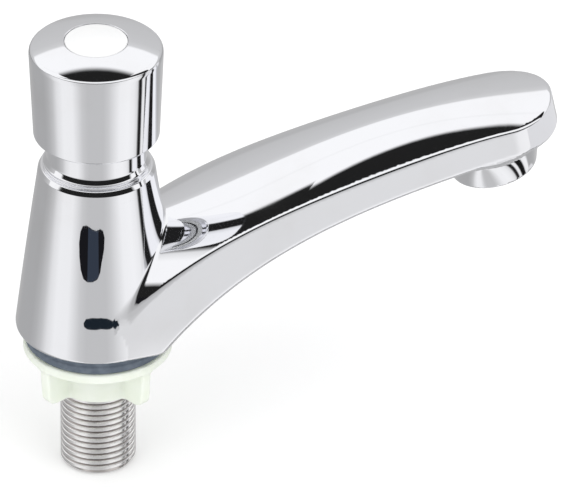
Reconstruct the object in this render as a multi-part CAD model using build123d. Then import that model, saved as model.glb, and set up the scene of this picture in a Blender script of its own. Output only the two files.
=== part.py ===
"""Push timed tap: a basin tap whose button opens a valve that closes by itself.

Millimetres, +Z up. The origin is the centre of the deck plane, which is the underside
of the base gasket. The spout reaches along +X.
"""
from build123d import *
import math
import os

# Deck, gasket and shank
gasket_inset = 2.7
gasket_height = 5.0
gasket_recess = 1.0
gasket_lip = 0.6
thread_radius = 10.4775
thread_pitch = 1.814
thread_depth = 1.162
thread_crest = 0.24
thread_sink = 0.2
thread_flank_share = 0.44
shank_bore = 7.0
shank_depth = 38.8
shank_chamfer = 0.3
shank_grip = 8.0
shank_washer_height = 1.2
fit_gap = 0.05
loose_gap = 0.3

# Wing backnut
nut_flange_radius = 20.7
nut_flange_height = 2.7
nut_hub_wall = 1.5
nut_height = 14.0
wing_count = 4
wing_thickness = 3.4
wing_reach = 20.5
wing_draft = 0.9
wing_corner = 3.0
wing_turn = 30.0
nut_chamfer = 0.5

# Strainer in the head of the shank
strainer_gap = 0.1
strainer_height = 5.0
strainer_wall = 1.0
strainer_slot_width = 1.0
strainer_slot_count = 8

# Tapered body
base_radius = 22.9
shoulder_radius = 16.1
base_edge = 1.2
shoulder_edge = 0.7
cone_bulge = 0.15

# Water chambers bored in the body
inlet_chamber_radius = 8.2
inlet_chamber_height = 9.8
nose_bore = 8.75
seal_height = 7.0
chamber_gap = 0.3
bonnet_bore_depth = 13.0

# Spout, in lengths from the body's axis
spout_length = 130.2
nose_radius = 16.2
nose_height = 57.0
nose_tilt = 11.0
ridge_edge = 0.9
roof_height = 64.0
wall_inset = 0.1
ridge_gap = 0.1
roof_overhang_share = 0.15
station_shares = [0.0, 0.077, 0.154, 0.261, 0.384, 0.507, 0.66, 0.78, 0.868, 0.952, 1.03]
ridge_height_shares = [0.211, 0.369, 0.4885, 0.6091, 0.7071, 0.7833, 0.8647, 0.9184, 0.946, 0.9553, 0.9411]
crest_height_shares = [0.5426, 0.5745, 0.6199, 0.6958, 0.7873, 0.8702, 0.9478, 0.9842, 0.9978, 1.0022, 1.0013]
underside_reach_shares = [0.115, 0.154, 0.2, 0.276, 0.368, 0.452, 0.544, 0.628, 0.72, 0.82, 1.03]
underside_height_shares = [0.0788, 0.1622, 0.2489, 0.3685, 0.4813, 0.5612, 0.6309, 0.6829, 0.7313, 0.7763, 0.8456]

# Outlet boss and waterway
outlet_setback = 1.0
outlet_height_share = 0.6375
boss_wall = 1.6
boss_flare_inset = 0.8
boss_flare_share = 0.15625
boss_edge = 0.6
outlet_bore = 10.4
outlet_bore_depth = 13.0
waterway_half_width = 7.5
waterway_height = 5.0
waterway_drop = 3.5

# Outlet fitting
outlet_ring_height = 5.0
outlet_ring_wall = 0.9
outlet_recess = 0.3
straightener_height = 2.4
straightener_rings = 2
straightener_hole = 0.8
outlet_washer_height = 1.0
outlet_washer_wall = 1.8

# Cartridge housing
housing_wall = 1.7
cage_gap = 1.4
cage_wall = 2.2
orifice_radius = 5.0
window_count = 4
window_width = 6.0
cage_height = 11.0
floor_thickness = 2.0
cylinder_head_gap = 2.2
housing_flange_height = 3.0
flange_seal_height = 1.0
flange_seal_wall = 1.4
o_ring_wire = 1.6
pocket_wall = 0.6

# Bonnet sleeve, which is the chrome neck under the cap
bonnet_wall = 2.0
neck_wall = 2.85
bonnet_flange_rim = 1.05
bonnet_flange_height = 2.2
bonnet_bead = 0.55
neck_height = 17.0
bonnet_roof = 4.0
housing_gap = 0.2
guide_radius = 5.0
guide_lip_radius = 6.2
guide_lip_height = 0.8
wiper_radius = 4.4
wiper_height = 1.2

# Spindle, piston and valve
spindle_radius = 3.0
spindle_shoulder = 4.0
spindle_shoulder_height = 1.6
shoulder_rest_gap = 2.0
piston_height = 3.6
piston_web = 0.15
piston_gap = 0.25
cup_height = 2.4
cup_wall = 0.9
circlip_thickness = 0.8
circlip_radius = 4.6
circlip_groove = 0.5
pin_radius = 0.7
pin_gap = 0.1
valve_washer_radius = 6.6
valve_washer_height = 1.8
valve_disc_rim = 0.4
valve_disc_height = 1.2
valve_nut_across = 7.0
valve_nut_height = 2.0
valve_stem_radius = 2.0

# Push cap
cap_overlap = 7.2
cap_skirt_height = 26.8
cap_flare = 1.2
cap_bevel = 0.6
cap_dome_height = 3.2
cap_wall = 1.9
cap_roof = 6.2
cap_lip = 0.4
disc_radius = 8.9
disc_height = 1.3
disc_recess = 1.5
disc_crown = 0.25
cap_screw_radius = 1.5
cap_screw_length = 9.0
cap_screw_head_radius = 2.9
cap_screw_head_height = 2.4
cap_screw_socket = 2.5
screw_washer_radius = 3.3
screw_washer_height = 0.6
guide_ring_height = 2.4
guide_ring_width = 1.35
spring_wire = 1.1
spring_radius = 8.0
spring_turns = 5
spring_end_gap = 0.1

overrun = 1.0

# Heights that follow, from the deck up
body_floor = gasket_height
shank_top = body_floor + shank_grip
chamber_floor = shank_top + shank_washer_height
seat_height = chamber_floor + inlet_chamber_height
nose_top = seat_height + seal_height
floor_height = nose_top + cage_height
flange_seat_height = floor_height + floor_thickness
shoulder_height = flange_seat_height + bonnet_bore_depth
neck_top_height = shoulder_height + neck_height
guide_bottom_height = neck_top_height - bonnet_roof - guide_lip_height
cylinder_top_height = guide_bottom_height - cylinder_head_gap
piston_rest_height = guide_bottom_height - shoulder_rest_gap - spindle_shoulder_height - piston_height
cap_bottom_height = neck_top_height - cap_overlap
cap_rim_height = cap_bottom_height + cap_skirt_height
cap_ceiling = cap_rim_height + cap_dome_height - cap_roof
cap_top = cap_rim_height + cap_bevel + cap_dome_height
disc_floor = cap_top - disc_recess

# Radii that follow, from the spindle out
gasket_radius = base_radius - gasket_inset
nut_hub_radius = thread_radius + loose_gap + nut_hub_wall
strainer_radius = inlet_chamber_radius - strainer_gap
pin_reach = spindle_radius + o_ring_wire + pocket_wall + pin_gap + pin_radius
cylinder_radius = pin_reach + pin_radius + loose_gap + piston_web + cup_wall * 2 + piston_gap
outlet_chamber_radius = cylinder_radius + housing_wall + chamber_gap
cage_radius = outlet_chamber_radius - cage_gap
bonnet_inner = cylinder_radius + housing_wall + housing_gap
bonnet_bore = bonnet_inner + bonnet_wall
neck_radius = bonnet_inner + neck_wall
bonnet_flange_radius = neck_radius + bonnet_flange_rim
cap_bottom_radius = neck_radius + loose_gap + guide_ring_width + cap_wall
cap_rim_radius = cap_bottom_radius + cap_flare
valve_disc_radius = valve_washer_radius + valve_disc_rim

# The nose and its outlet
nose_center = spout_length - nose_radius
outlet_reach = nose_center - outlet_setback
ridge_start_height = roof_height * ridge_height_shares[0] - ridge_gap
boss_height = roof_height * outlet_height_share
boss_flare_height = roof_height * boss_flare_share
boss_radius = outlet_bore + boss_wall
boss_flare_radius = nose_radius - boss_flare_inset
outlet_place = Pos(outlet_reach, 0, boss_height) * Rot(0, -nose_tilt, 0)


def save(node, shape):
    """Names the shape after its node and writes it."""
    shape.label = node
    export_step(shape, f"parts/{node}.step")


def rod(radius, low, high, x=0.0, y=0.0):
    """Upright cylinder between two heights."""
    return Pos(x, y, low) * Cylinder(radius, high - low, align=(Align.CENTER, Align.CENTER, Align.MIN))


def ring(outer, inner, low, high, x=0.0, y=0.0):
    """Upright tube between two heights."""
    return rod(outer, low, high, x, y) - rod(inner, low - overrun, high + overrun, x, y)


def turned(points):
    """Solid of revolution about Z of a closed outline given as radius and height."""
    outline = make_face(Polyline(*[(r, 0, z) for r, z in points], close=True))
    return revolve(outline, Axis.Z)


def hexagon(across, low, high):
    """Upright six-sided bar by its width across flats."""
    outline = RegularPolygon(across / 2, 6, major_radius=False)
    return Pos(0, 0, low) * extrude(outline, high - low)


def spread(count, shape, reach=0.0, start=0.0):
    """Copies of a shape at even angles round Z, moved out along their own X."""
    return [Rot(0, 0, start + 360 * i / count) * Pos(reach, 0, 0) * shape for i in range(count)]


def cone_radius(height):
    """Outer radius of the straight cone at a height."""
    share = (height - body_floor) / (shoulder_height - body_floor)
    return base_radius + (shoulder_radius - base_radius) * share


def tower():
    """Tapered body, turned, with a rounded foot and shoulder."""
    middle = (body_floor + shoulder_height) / 2
    side = ThreePointArc(
        (base_radius, 0, body_floor),
        (cone_radius(middle) + cone_bulge, 0, middle),
        (shoulder_radius, 0, shoulder_height),
    )
    rest = Polyline(
        (shoulder_radius, 0, shoulder_height), (0, 0, shoulder_height), (0, 0, body_floor),
        (base_radius, 0, body_floor),
    )
    cone = revolve(make_face([side, rest]), Axis.Z)
    rims = cone.edges().filter_by(GeomType.CIRCLE).sort_by(Axis.Z)
    cone = fillet(rims[-1], shoulder_edge)
    return fillet(cone.edges().filter_by(GeomType.CIRCLE).sort_by(Axis.Z)[0], base_edge)


def spout_half_width(reach, height, inset=0.0):
    """Half width of the spout's straight sides, which leave the cone where the ridge starts."""
    root = cone_radius(ridge_start_height) - inset
    lean = math.tan(math.radians(nose_tilt))
    ahead = nose_center + (nose_height - height) * lean - reach
    length = nose_center + (nose_height - ridge_start_height) * lean
    return nose_radius + (root - nose_radius) * max(ahead, 0.0) / length


def roof_section(reach, ridge, crest):
    """Cross-section of the crowned roof: an arc through both ridges and the crest."""
    half = spout_half_width(reach, ridge)
    rise = crest - ridge
    radius = (half**2 + rise**2) / (2 * rise)
    wide = math.sqrt(half**2 + (radius**2 - half**2) * roof_overhang_share)
    edge = crest - radius + math.sqrt(radius**2 - wide**2)
    arch = ThreePointArc((reach, -wide, edge), (reach, 0, crest), (reach, wide, edge))
    sides = Polyline((reach, wide, edge), (reach, wide, 0), (reach, -wide, 0), (reach, -wide, edge))
    return make_face([arch, sides])


def spout_walls():
    """Prism on the spout's plan, tapering to a round nose and leaning with it, above a flared root."""
    shift = (nose_height - ridge_start_height) * math.tan(math.radians(nose_tilt))
    start = spout_half_width(0, ridge_start_height, wall_inset)
    turn = math.asin((start - nose_radius) / (nose_center + shift))
    touch_x = nose_center + nose_radius * math.sin(turn)
    touch_y = nose_radius * math.cos(turn)
    back = base_radius + shift
    root = touch_y + (touch_x + back) * math.tan(turn)
    nose = ThreePointArc(
        (touch_x, touch_y, nose_height), (spout_length, 0, nose_height), (touch_x, -touch_y, nose_height))
    rest = Polyline(
        (touch_x, -touch_y, nose_height), (-back, -root, nose_height), (-back, root, nose_height),
        (touch_x, touch_y, nose_height),
    )
    lean = (-math.sin(math.radians(nose_tilt)), 0, math.cos(math.radians(nose_tilt)))
    prism = extrude(make_face([nose, rest]), roof_height, dir=lean, both=True)
    return split(prism, Plane.XY.offset(ridge_start_height)) + flared_root()


def flared_root():
    """Foot of the side walls, leaning like the cone beside the body and upright further out."""
    far = base_radius + gasket_inset
    wide = spout_half_width(far, ridge_start_height, wall_inset)
    sections = [
        make_face(Polyline(
            (0, half, height), (far, wide, height), (far, -wide, height), (0, -half, height), close=True))
        for height, half in [
            (body_floor, base_radius), (ridge_start_height, spout_half_width(0, ridge_start_height, wall_inset))]
    ]
    return loft(sections, ruled=True)


def underside():
    """Everything above the curved underside of the spout, as wide as the body."""
    points = [
        (spout_length * reach, 0, roof_height * height)
        for reach, height in zip(underside_reach_shares, underside_height_shares)
    ]
    high = roof_height * 2
    far = spout_length * 2
    curve = Spline(*points)
    rest = Polyline(
        points[-1], (far, 0, points[-1][2]), (far, 0, high), (0, 0, high), (0, 0, body_floor),
        (points[0][0], 0, body_floor), points[0],
    )
    face = make_face([curve, rest])
    return extrude(face, base_radius * 2, dir=(0, 1, 0), both=True)


def spout():
    """Crowned roof, cut to the plan outline and to the curved underside."""
    roof = loft([
        roof_section(spout_length * share, roof_height * ridge, roof_height * crest)
        for share, ridge, crest in zip(station_shares, ridge_height_shares, crest_height_shares)
    ])
    body = roof & spout_walls() & underside()
    crown = body.faces().sort_by(SortBy.AREA)[-1]
    return fillet(crown.edges().filter_by_position(Axis.X, overrun, spout_length * 2), ridge_edge)


def outlet_boss():
    """Flared boss square to the nose, with a flat mouth."""
    side = ThreePointArc(
        (boss_radius, 0, 0),
        ((boss_radius + boss_flare_radius - boss_edge) / 2, 0, boss_flare_height / 2),
        (boss_flare_radius, 0, boss_flare_height),
    )
    rest = Polyline((boss_flare_radius, 0, boss_flare_height), (0, 0, boss_flare_height), (0, 0, 0),
                    (boss_radius, 0, 0))
    cone = revolve(make_face([side, rest]), Axis.Z)
    return outlet_place * fillet(cone.edges().sort_by(Axis.Z)[0], boss_edge)


def waterway():
    """Core of the casting, from the outlet chamber to the outlet."""
    stations = [3, 5, 7]
    reaches = [0.0] + [spout_length * station_shares[i] for i in stations] + [outlet_reach]
    middles = [(floor_height + nose_top) / 2] + [
        roof_height * ridge_height_shares[i] - waterway_drop for i in stations
    ] + [boss_height + outlet_bore_depth]
    sections = [
        Pos(reach, 0, middle) * Rot(0, 90, 0) * RectangleRounded(
            waterway_height, waterway_half_width * 2, waterway_height / 3)
        for reach, middle in zip(reaches, middles)
    ]
    return loft(sections, ruled=True)


def tap_body():
    """Body and spout as one casting, with its chambers."""
    bores = [
        rod(gasket_radius + loose_gap, body_floor - overrun, body_floor + gasket_recess),
        rod(thread_radius + fit_gap, body_floor, chamber_floor),
        rod(inlet_chamber_radius, chamber_floor - overrun, seat_height),
        rod(nose_bore, seat_height, nose_top),
        rod(outlet_chamber_radius, nose_top, flange_seat_height + overrun),
        rod(bonnet_bore, flange_seat_height, shoulder_height + overrun),
        outlet_place * rod(outlet_bore, -overrun, outlet_bore_depth),
    ]
    return tower() + spout() + outlet_boss() - bores - waterway()


def thread_ridge(root):
    """Right-hand thread as one ridge carried along a helix, sunk a little in the core."""
    path = Helix(pitch=thread_pitch, height=shank_depth - thread_pitch * 2, radius=root - thread_sink)
    foot = thread_pitch * thread_flank_share
    crest = thread_crest / 2
    reach = thread_depth + thread_sink
    section = Plane(origin=path @ 0, x_dir=(1, 0, 0), z_dir=(0, 1, 0)) * make_face(
        Polyline((0, -foot), (0, foot), (reach, crest), (reach, -crest), close=True))
    return Pos(0, 0, thread_pitch - shank_depth) * sweep(section, path=path, is_frenet=True)


def threaded_shank():
    """Inlet shank with its thread, a plain head above the deck and a seat for the strainer."""
    root = thread_radius - thread_depth
    core = rod(root, -shank_depth, shank_top)
    core = chamfer(core.edges().sort_by(Axis.Z)[0], shank_chamfer)
    shank = core + thread_ridge(root) + rod(thread_radius, 0, shank_top)
    seat = shank_top - strainer_height - shank_washer_height
    return shank - rod(shank_bore, -shank_depth - overrun, shank_top) - rod(
        inlet_chamber_radius, seat, shank_top + overrun)


def wing_backnut():
    """Moulded nut: a flange under the deck, a hub and four wings to turn it by."""
    low = -nut_height
    flange = rod(nut_flange_radius, -nut_flange_height, 0)
    flange = chamfer(flange.edges().filter_by(GeomType.CIRCLE), nut_chamfer)
    profile = make_face(Polyline(
        (0, 0, 0), (wing_reach, 0, 0), (wing_reach - wing_draft, 0, low), (0, 0, low), close=True))
    wing = extrude(profile, wing_thickness / 2, dir=(0, 1, 0), both=True)
    corner = wing.edges().filter_by(Axis.Y).sort_by(Axis.Z)[:2].sort_by(Axis.X)[-1]
    wing = fillet(corner, wing_corner)
    body = flange + rod(nut_hub_radius, low, 0) + spread(wing_count, wing, start=wing_turn)
    inner = thread_radius + loose_gap
    mouth = Cone(inner + nut_chamfer, inner, nut_chamfer, align=(Align.CENTER, Align.CENTER, Align.MIN))
    return body - rod(inner, low - overrun, overrun) - Pos(0, 0, low) * mouth


def base_gasket():
    """Rubber ring between the body and the deck, with a thin sealing lip below."""
    inner = thread_radius + loose_gap
    groove = (gasket_radius - inner) / 3
    return turned([
        (inner, 0), (inner + groove, 0), (inner + groove, gasket_lip), (gasket_radius - groove, gasket_lip),
        (gasket_radius - groove, 0), (gasket_radius - gasket_lip, 0), (gasket_radius, gasket_lip),
        (gasket_radius, gasket_height + gasket_recess), (inner, gasket_height + gasket_recess),
    ])


def inlet_strainer():
    """Slotted thimble that stands in the head of the shank."""
    low = shank_top - strainer_height - shank_washer_height
    inner = shank_bore - strainer_wall * 2
    thimble = ring(strainer_radius, inner, low, low + strainer_wall)
    thimble += ring(inner + strainer_wall, inner, low, low + strainer_height)
    thimble += rod(inner + strainer_wall, low + strainer_height - strainer_wall, low + strainer_height)
    slot = Pos(0, 0, low + strainer_height / 2) * Box(
        shank_bore * 2, strainer_slot_width, strainer_height - strainer_wall * 3)
    return thimble - spread(strainer_slot_count // 2, slot)


def shank_washer():
    """Fibre washer that seals the shank in its socket."""
    return ring(thread_radius - loose_gap, inlet_chamber_radius, shank_top, chamber_floor)


def cartridge_housing():
    """Nose, slotted cage, floor, timing cylinder and clamping flange in one moulding."""
    outer = cylinder_radius + housing_wall
    flange_low = flange_seat_height + flange_seal_height
    housing = rod(nose_bore - fit_gap, seat_height, nose_top)
    housing += rod(cage_radius, nose_top, floor_height)
    housing += rod(outer, floor_height, cylinder_top_height)
    housing += rod(bonnet_bore - fit_gap, flange_low, flange_low + housing_flange_height)
    housing -= rod(orifice_radius, seat_height - overrun, nose_top + overrun)
    housing -= rod(cage_radius - cage_wall, nose_top, floor_height)
    housing -= rod(cylinder_radius, floor_height + floor_thickness, cylinder_top_height + overrun)
    pocket = floor_height + floor_thickness
    housing -= rod(spindle_radius + fit_gap, floor_height - overrun, pocket + overrun)
    housing -= rod(pin_radius, floor_height + floor_thickness / 2, pocket + overrun, pin_reach)
    groove_low = (seat_height + nose_top - o_ring_wire) / 2
    housing -= ring(nose_bore + overrun, nose_bore - o_ring_wire, groove_low, groove_low + o_ring_wire)
    window = Pos(0, 0, (nose_top + floor_height) / 2) * Box(
        cage_radius * 3, window_width, floor_height - nose_top - cage_wall)
    housing -= spread(window_count // 2, window)
    return housing + ring(spindle_radius + o_ring_wire + pocket_wall, spindle_radius + o_ring_wire, pocket,
                          pocket + o_ring_wire)


def nose_o_ring():
    """Seal between the cartridge's nose and its bore."""
    return ring(nose_bore, nose_bore - o_ring_wire, (seat_height + nose_top - o_ring_wire) / 2,
                (seat_height + nose_top + o_ring_wire) / 2)


def flange_seal():
    """Flat ring under the cartridge's flange."""
    return ring(bonnet_bore - fit_gap, bonnet_bore - flange_seal_wall, flange_seat_height,
                flange_seat_height + flange_seal_height)


def bonnet_sleeve():
    """Chrome neck that screws into the body, with a moulded flange and a closed top."""
    low = flange_seat_height + flange_seal_height + housing_flange_height
    foot = shoulder_height
    step = bonnet_flange_height / 3
    flange = bonnet_flange_radius
    outline = [
        (bonnet_inner, low), (bonnet_bore - fit_gap, low), (bonnet_bore - fit_gap, foot), (flange, foot),
        (flange, foot + step), (flange - bonnet_bead, foot + step), (flange - bonnet_bead, foot + step * 2),
        (flange, foot + step * 2), (flange - bonnet_bead, foot + step * 3), (neck_radius, foot + step * 3),
        (neck_radius, neck_top_height - bonnet_bead), (neck_radius - bonnet_bead, neck_top_height),
        (wiper_radius, neck_top_height), (wiper_radius, neck_top_height - wiper_height),
        (guide_radius, neck_top_height - wiper_height), (guide_radius, neck_top_height - bonnet_roof),
        (bonnet_inner, neck_top_height - bonnet_roof),
    ]
    return turned(outline)


def spindle_guide():
    """Plastic bush that guides the spindle in the bonnet's top."""
    high = neck_top_height - wiper_height
    low = neck_top_height - bonnet_roof
    inner = spindle_radius + fit_gap
    return turned([
        (inner, guide_bottom_height), (guide_lip_radius, guide_bottom_height), (guide_lip_radius, low),
        (guide_radius, low), (guide_radius, high), (inner, high),
    ])


def wiper_seal():
    """Rubber ring over the guide that keeps the spindle clean."""
    return ring(wiper_radius, spindle_radius + fit_gap, neck_top_height - wiper_height, neck_top_height)


def lower_o_ring():
    """Seal round the spindle in the cylinder's floor."""
    low = floor_height + floor_thickness
    return ring(spindle_radius + o_ring_wire, spindle_radius + fit_gap, low, low + o_ring_wire)


def spindle():
    """Rod from the cap down to the valve, with a shoulder for the piston and a groove for its clip."""
    valve_top = seat_height
    shoulder = piston_rest_height + piston_height
    clip = piston_rest_height - circlip_thickness
    rod_body = rod(spindle_radius, valve_top, cap_ceiling)
    valve_stack = valve_washer_height + valve_disc_height + valve_nut_height
    rod_body += rod(valve_stem_radius, valve_top - valve_stack, valve_top)
    rod_body += rod(spindle_shoulder, shoulder, shoulder + spindle_shoulder_height)
    rod_body -= ring(spindle_radius + overrun, spindle_radius - circlip_groove, clip, piston_rest_height)
    return rod_body - rod(cap_screw_radius, cap_ceiling - cap_screw_length, cap_ceiling + overrun)


def piston():
    """Piston that draws water past the metering pin."""
    low, high = piston_rest_height, piston_rest_height + piston_height
    outer = cylinder_radius - piston_gap
    disc = rod(outer, low, high) - rod(spindle_radius, low - overrun, high + overrun)
    disc -= ring(outer + overrun, outer - cup_wall * 2, high - cup_height, high + overrun)
    return disc - rod(pin_radius + loose_gap, low - overrun, high + overrun, pin_reach)


def piston_cup():
    """Rubber cup seal on the piston's upper side."""
    high = piston_rest_height + piston_height
    outer = cylinder_radius - piston_gap
    low = high - cup_height
    return turned([
        (outer - cup_wall * 2, low), (outer, low), (outer, high), (outer - cup_wall / 2, high),
        (outer - cup_wall, low + cup_wall), (outer - cup_wall * 2, low + cup_wall),
    ])


def piston_circlip():
    """Split clip that holds the piston against the spindle's shoulder."""
    low = piston_rest_height - circlip_thickness
    clip = ring(circlip_radius, spindle_radius - circlip_groove, low, piston_rest_height)
    gap = Pos(circlip_radius, 0, low + circlip_thickness / 2) * Box(
        circlip_radius * 2, spindle_radius, circlip_thickness * 2)
    return clip - gap


def metering_pin():
    """Fixed pin through the piston: it sets the closing time and stops the button turning."""
    low = floor_height + floor_thickness / 2
    return rod(pin_radius, low, cylinder_top_height, pin_reach)


def valve_washer():
    """Rubber washer that closes the orifice from below."""
    return ring(valve_washer_radius, valve_stem_radius, seat_height - valve_washer_height, seat_height)


def valve_disc():
    """Backing disc under the valve washer."""
    high = seat_height - valve_washer_height
    return ring(valve_disc_radius, valve_stem_radius, high - valve_disc_height, high)


def valve_nut():
    """Nut that clamps the washer and its disc to the spindle."""
    high = seat_height - valve_washer_height - valve_disc_height
    return hexagon(valve_nut_across, high - valve_nut_height, high) - rod(
        valve_stem_radius, high - valve_nut_height - overrun, high + overrun)


def return_spring():
    """Coil between the bonnet's top and the cap, as one swept wire."""
    low = neck_top_height + spring_wire / 2 + spring_end_gap
    high = cap_ceiling - spring_wire / 2 - spring_end_gap
    path = Helix(pitch=(high - low) / spring_turns, height=high - low, radius=spring_radius)
    start = path @ 0
    section = Plane(origin=start, z_dir=path % 0) * Circle(spring_wire / 2)
    return Pos(0, 0, low) * sweep(section, path=path)


def dome_height(radius):
    """Height of the cap's shallow dome at a radius."""
    share = radius / (cap_rim_radius - cap_bevel)
    return cap_top - cap_dome_height * share**2


def push_cap():
    """Flared button with a low dome, a recess for the index disc and a hollow skirt."""
    top_edge = cap_rim_radius - cap_bevel
    middle = top_edge / 2
    outer = Polyline((0, 0, cap_ceiling), (0, 0, cap_top))
    edge_height = dome_height(top_edge)
    dome = ThreePointArc((0, 0, cap_top), (middle, 0, dome_height(middle)), (top_edge, 0, edge_height))
    side = Polyline(
        (top_edge, 0, edge_height), (cap_rim_radius, 0, cap_rim_height),
        (cap_bottom_radius, 0, cap_bottom_height + cap_lip),
        (cap_bottom_radius - cap_lip, 0, cap_bottom_height),
        (cap_bottom_radius - cap_wall, 0, cap_bottom_height),
        (cap_bottom_radius - cap_wall, 0, cap_ceiling), (0, 0, cap_ceiling),
    )
    cap = revolve(make_face([outer, dome, side]), Axis.Z)
    head_seat = disc_floor - cap_screw_head_height - loose_gap - screw_washer_height
    cap -= rod(disc_radius, disc_floor, cap_top + overrun)
    cap -= rod(screw_washer_radius + loose_gap, head_seat, disc_floor + overrun)
    return cap - rod(cap_screw_radius + loose_gap, cap_ceiling - overrun, disc_floor)


def cap_screw():
    """Socket screw that holds the cap on the spindle, under the index disc."""
    seat = disc_floor - cap_screw_head_height - loose_gap
    tip = cap_ceiling - cap_screw_length
    screw = rod(cap_screw_radius, tip, seat)
    screw += rod(cap_screw_head_radius, seat, seat + cap_screw_head_height)
    socket = hexagon(cap_screw_socket, seat + cap_screw_head_height / 2, disc_floor)
    return screw - socket


def screw_washer():
    """Washer under the cap screw's head."""
    high = disc_floor - cap_screw_head_height - loose_gap
    return ring(screw_washer_radius, cap_screw_radius, high - screw_washer_height, high)


def index_disc():
    """Plain white disc that covers the cap screw."""
    radius = disc_radius - fit_gap
    high = disc_floor + disc_height
    crown = high + disc_crown
    top = ThreePointArc((0, 0, crown), (radius / 2, 0, high + disc_crown * 3 / 4), (radius, 0, high))
    rest = Polyline((radius, 0, high), (radius, 0, disc_floor), (0, 0, disc_floor), (0, 0, crown))
    return revolve(make_face([top, rest]), Axis.Z)


def guide_ring():
    """Plastic ring in the cap's mouth that runs round the neck."""
    low = cap_bottom_height + cap_lip
    inner = neck_radius + loose_gap
    return ring(inner + guide_ring_width, inner, low, low + guide_ring_height)


def outlet_ring():
    """Chromed insert in the outlet's mouth."""
    return outlet_place * ring(outlet_bore, outlet_bore - outlet_ring_wall, outlet_recess,
                               outlet_recess + outlet_ring_height)


def flow_straightener():
    """Disc of small holes that makes the stream even."""
    low = outlet_recess + outlet_ring_height
    high = low + straightener_height
    hole = rod(straightener_hole, low - overrun, high + overrun)
    pitch = outlet_bore / (straightener_rings + 1)
    holes = [hole]
    for circle in range(1, straightener_rings + 1):
        holes += spread(6 * circle, hole, pitch * circle)
    return outlet_place * (rod(outlet_bore - fit_gap, low, high) - holes)


def outlet_washer():
    """Rubber washer over the flow straightener."""
    low = outlet_recess + outlet_ring_height + straightener_height
    return outlet_place * ring(outlet_bore - fit_gap, outlet_bore - outlet_washer_wall, low,
                               low + outlet_washer_height)


os.makedirs("parts", exist_ok=True)
for node, maker in {
    "tap_body": tap_body,
    "threaded_shank": threaded_shank,
    "shank_washer": shank_washer,
    "inlet_strainer": inlet_strainer,
    "base_gasket": base_gasket,
    "wing_backnut": wing_backnut,
    "cartridge_housing": cartridge_housing,
    "nose_o_ring": nose_o_ring,
    "flange_seal": flange_seal,
    "bonnet_sleeve": bonnet_sleeve,
    "spindle_guide": spindle_guide,
    "wiper_seal": wiper_seal,
    "lower_o_ring": lower_o_ring,
    "metering_pin": metering_pin,
    "outlet_ring": outlet_ring,
    "flow_straightener": flow_straightener,
    "outlet_washer": outlet_washer,
    "spindle": spindle,
    "piston": piston,
    "piston_cup": piston_cup,
    "piston_circlip": piston_circlip,
    "valve_washer": valve_washer,
    "valve_disc": valve_disc,
    "valve_nut": valve_nut,
    "return_spring": return_spring,
    "push_cap": push_cap,
    "guide_ring": guide_ring,
    "cap_screw": cap_screw,
    "screw_washer": screw_washer,
    "index_disc": index_disc,
}.items():
    save(node, maker())
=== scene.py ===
"""Looks of the push timed tap.

Smooth chrome castings, a cut thread, a moulded backnut and a bright studio.

Sizes are in millimetres in the part's own frame and become metres as each mesh is made.
The origin is the centre of the deck plane, +Z is up and the spout reaches along +X.
"""
import itertools
import logging
import math
from dataclasses import dataclass, field
from enum import Enum
from typing import Any, Callable, Optional, Sequence, Union

import bpy
import numpy as np
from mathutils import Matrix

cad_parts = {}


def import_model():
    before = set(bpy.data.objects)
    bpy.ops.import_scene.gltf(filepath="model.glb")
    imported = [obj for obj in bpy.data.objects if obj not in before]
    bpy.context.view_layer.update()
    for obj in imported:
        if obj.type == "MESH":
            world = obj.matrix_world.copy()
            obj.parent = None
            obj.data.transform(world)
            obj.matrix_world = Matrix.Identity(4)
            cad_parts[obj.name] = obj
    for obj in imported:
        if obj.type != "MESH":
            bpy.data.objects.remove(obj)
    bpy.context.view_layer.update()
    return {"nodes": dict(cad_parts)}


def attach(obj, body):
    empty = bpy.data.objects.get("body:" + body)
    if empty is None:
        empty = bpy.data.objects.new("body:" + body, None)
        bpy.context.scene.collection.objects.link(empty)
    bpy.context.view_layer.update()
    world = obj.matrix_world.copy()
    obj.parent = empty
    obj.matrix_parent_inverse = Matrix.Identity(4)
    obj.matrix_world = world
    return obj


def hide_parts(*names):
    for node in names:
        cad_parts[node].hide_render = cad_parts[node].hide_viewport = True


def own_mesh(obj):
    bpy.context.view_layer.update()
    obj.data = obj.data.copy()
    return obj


log = logging.getLogger("tap")
MM = 0.001
Span = tuple[float, float]
Colour = tuple[float, float, float]
Place = tuple[float, float, float]
Reach = Union[float, np.ndarray]
Term = Union["Value", float]


class Slot(Enum):
    """Finishes named in the part's record."""

    CHROME = "polished_chrome"
    THREAD = "thread_metal"
    GASKET = "gasket_rubber"
    NUT = "nut_plastic"
    DISC = "disc_white"
    HOUSING = "housing_plastic"
    SEAL = "seal_rubber"
    FIBRE = "fibre"
    BRASS = "bare_brass"
    SPRING = "spring_steel"


class Body(Enum):
    """Bodies that pieces ride on."""

    TAP = "tap"
    BUTTON = "button"
    BACKNUT = "backnut"


# Shader nodes


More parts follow.
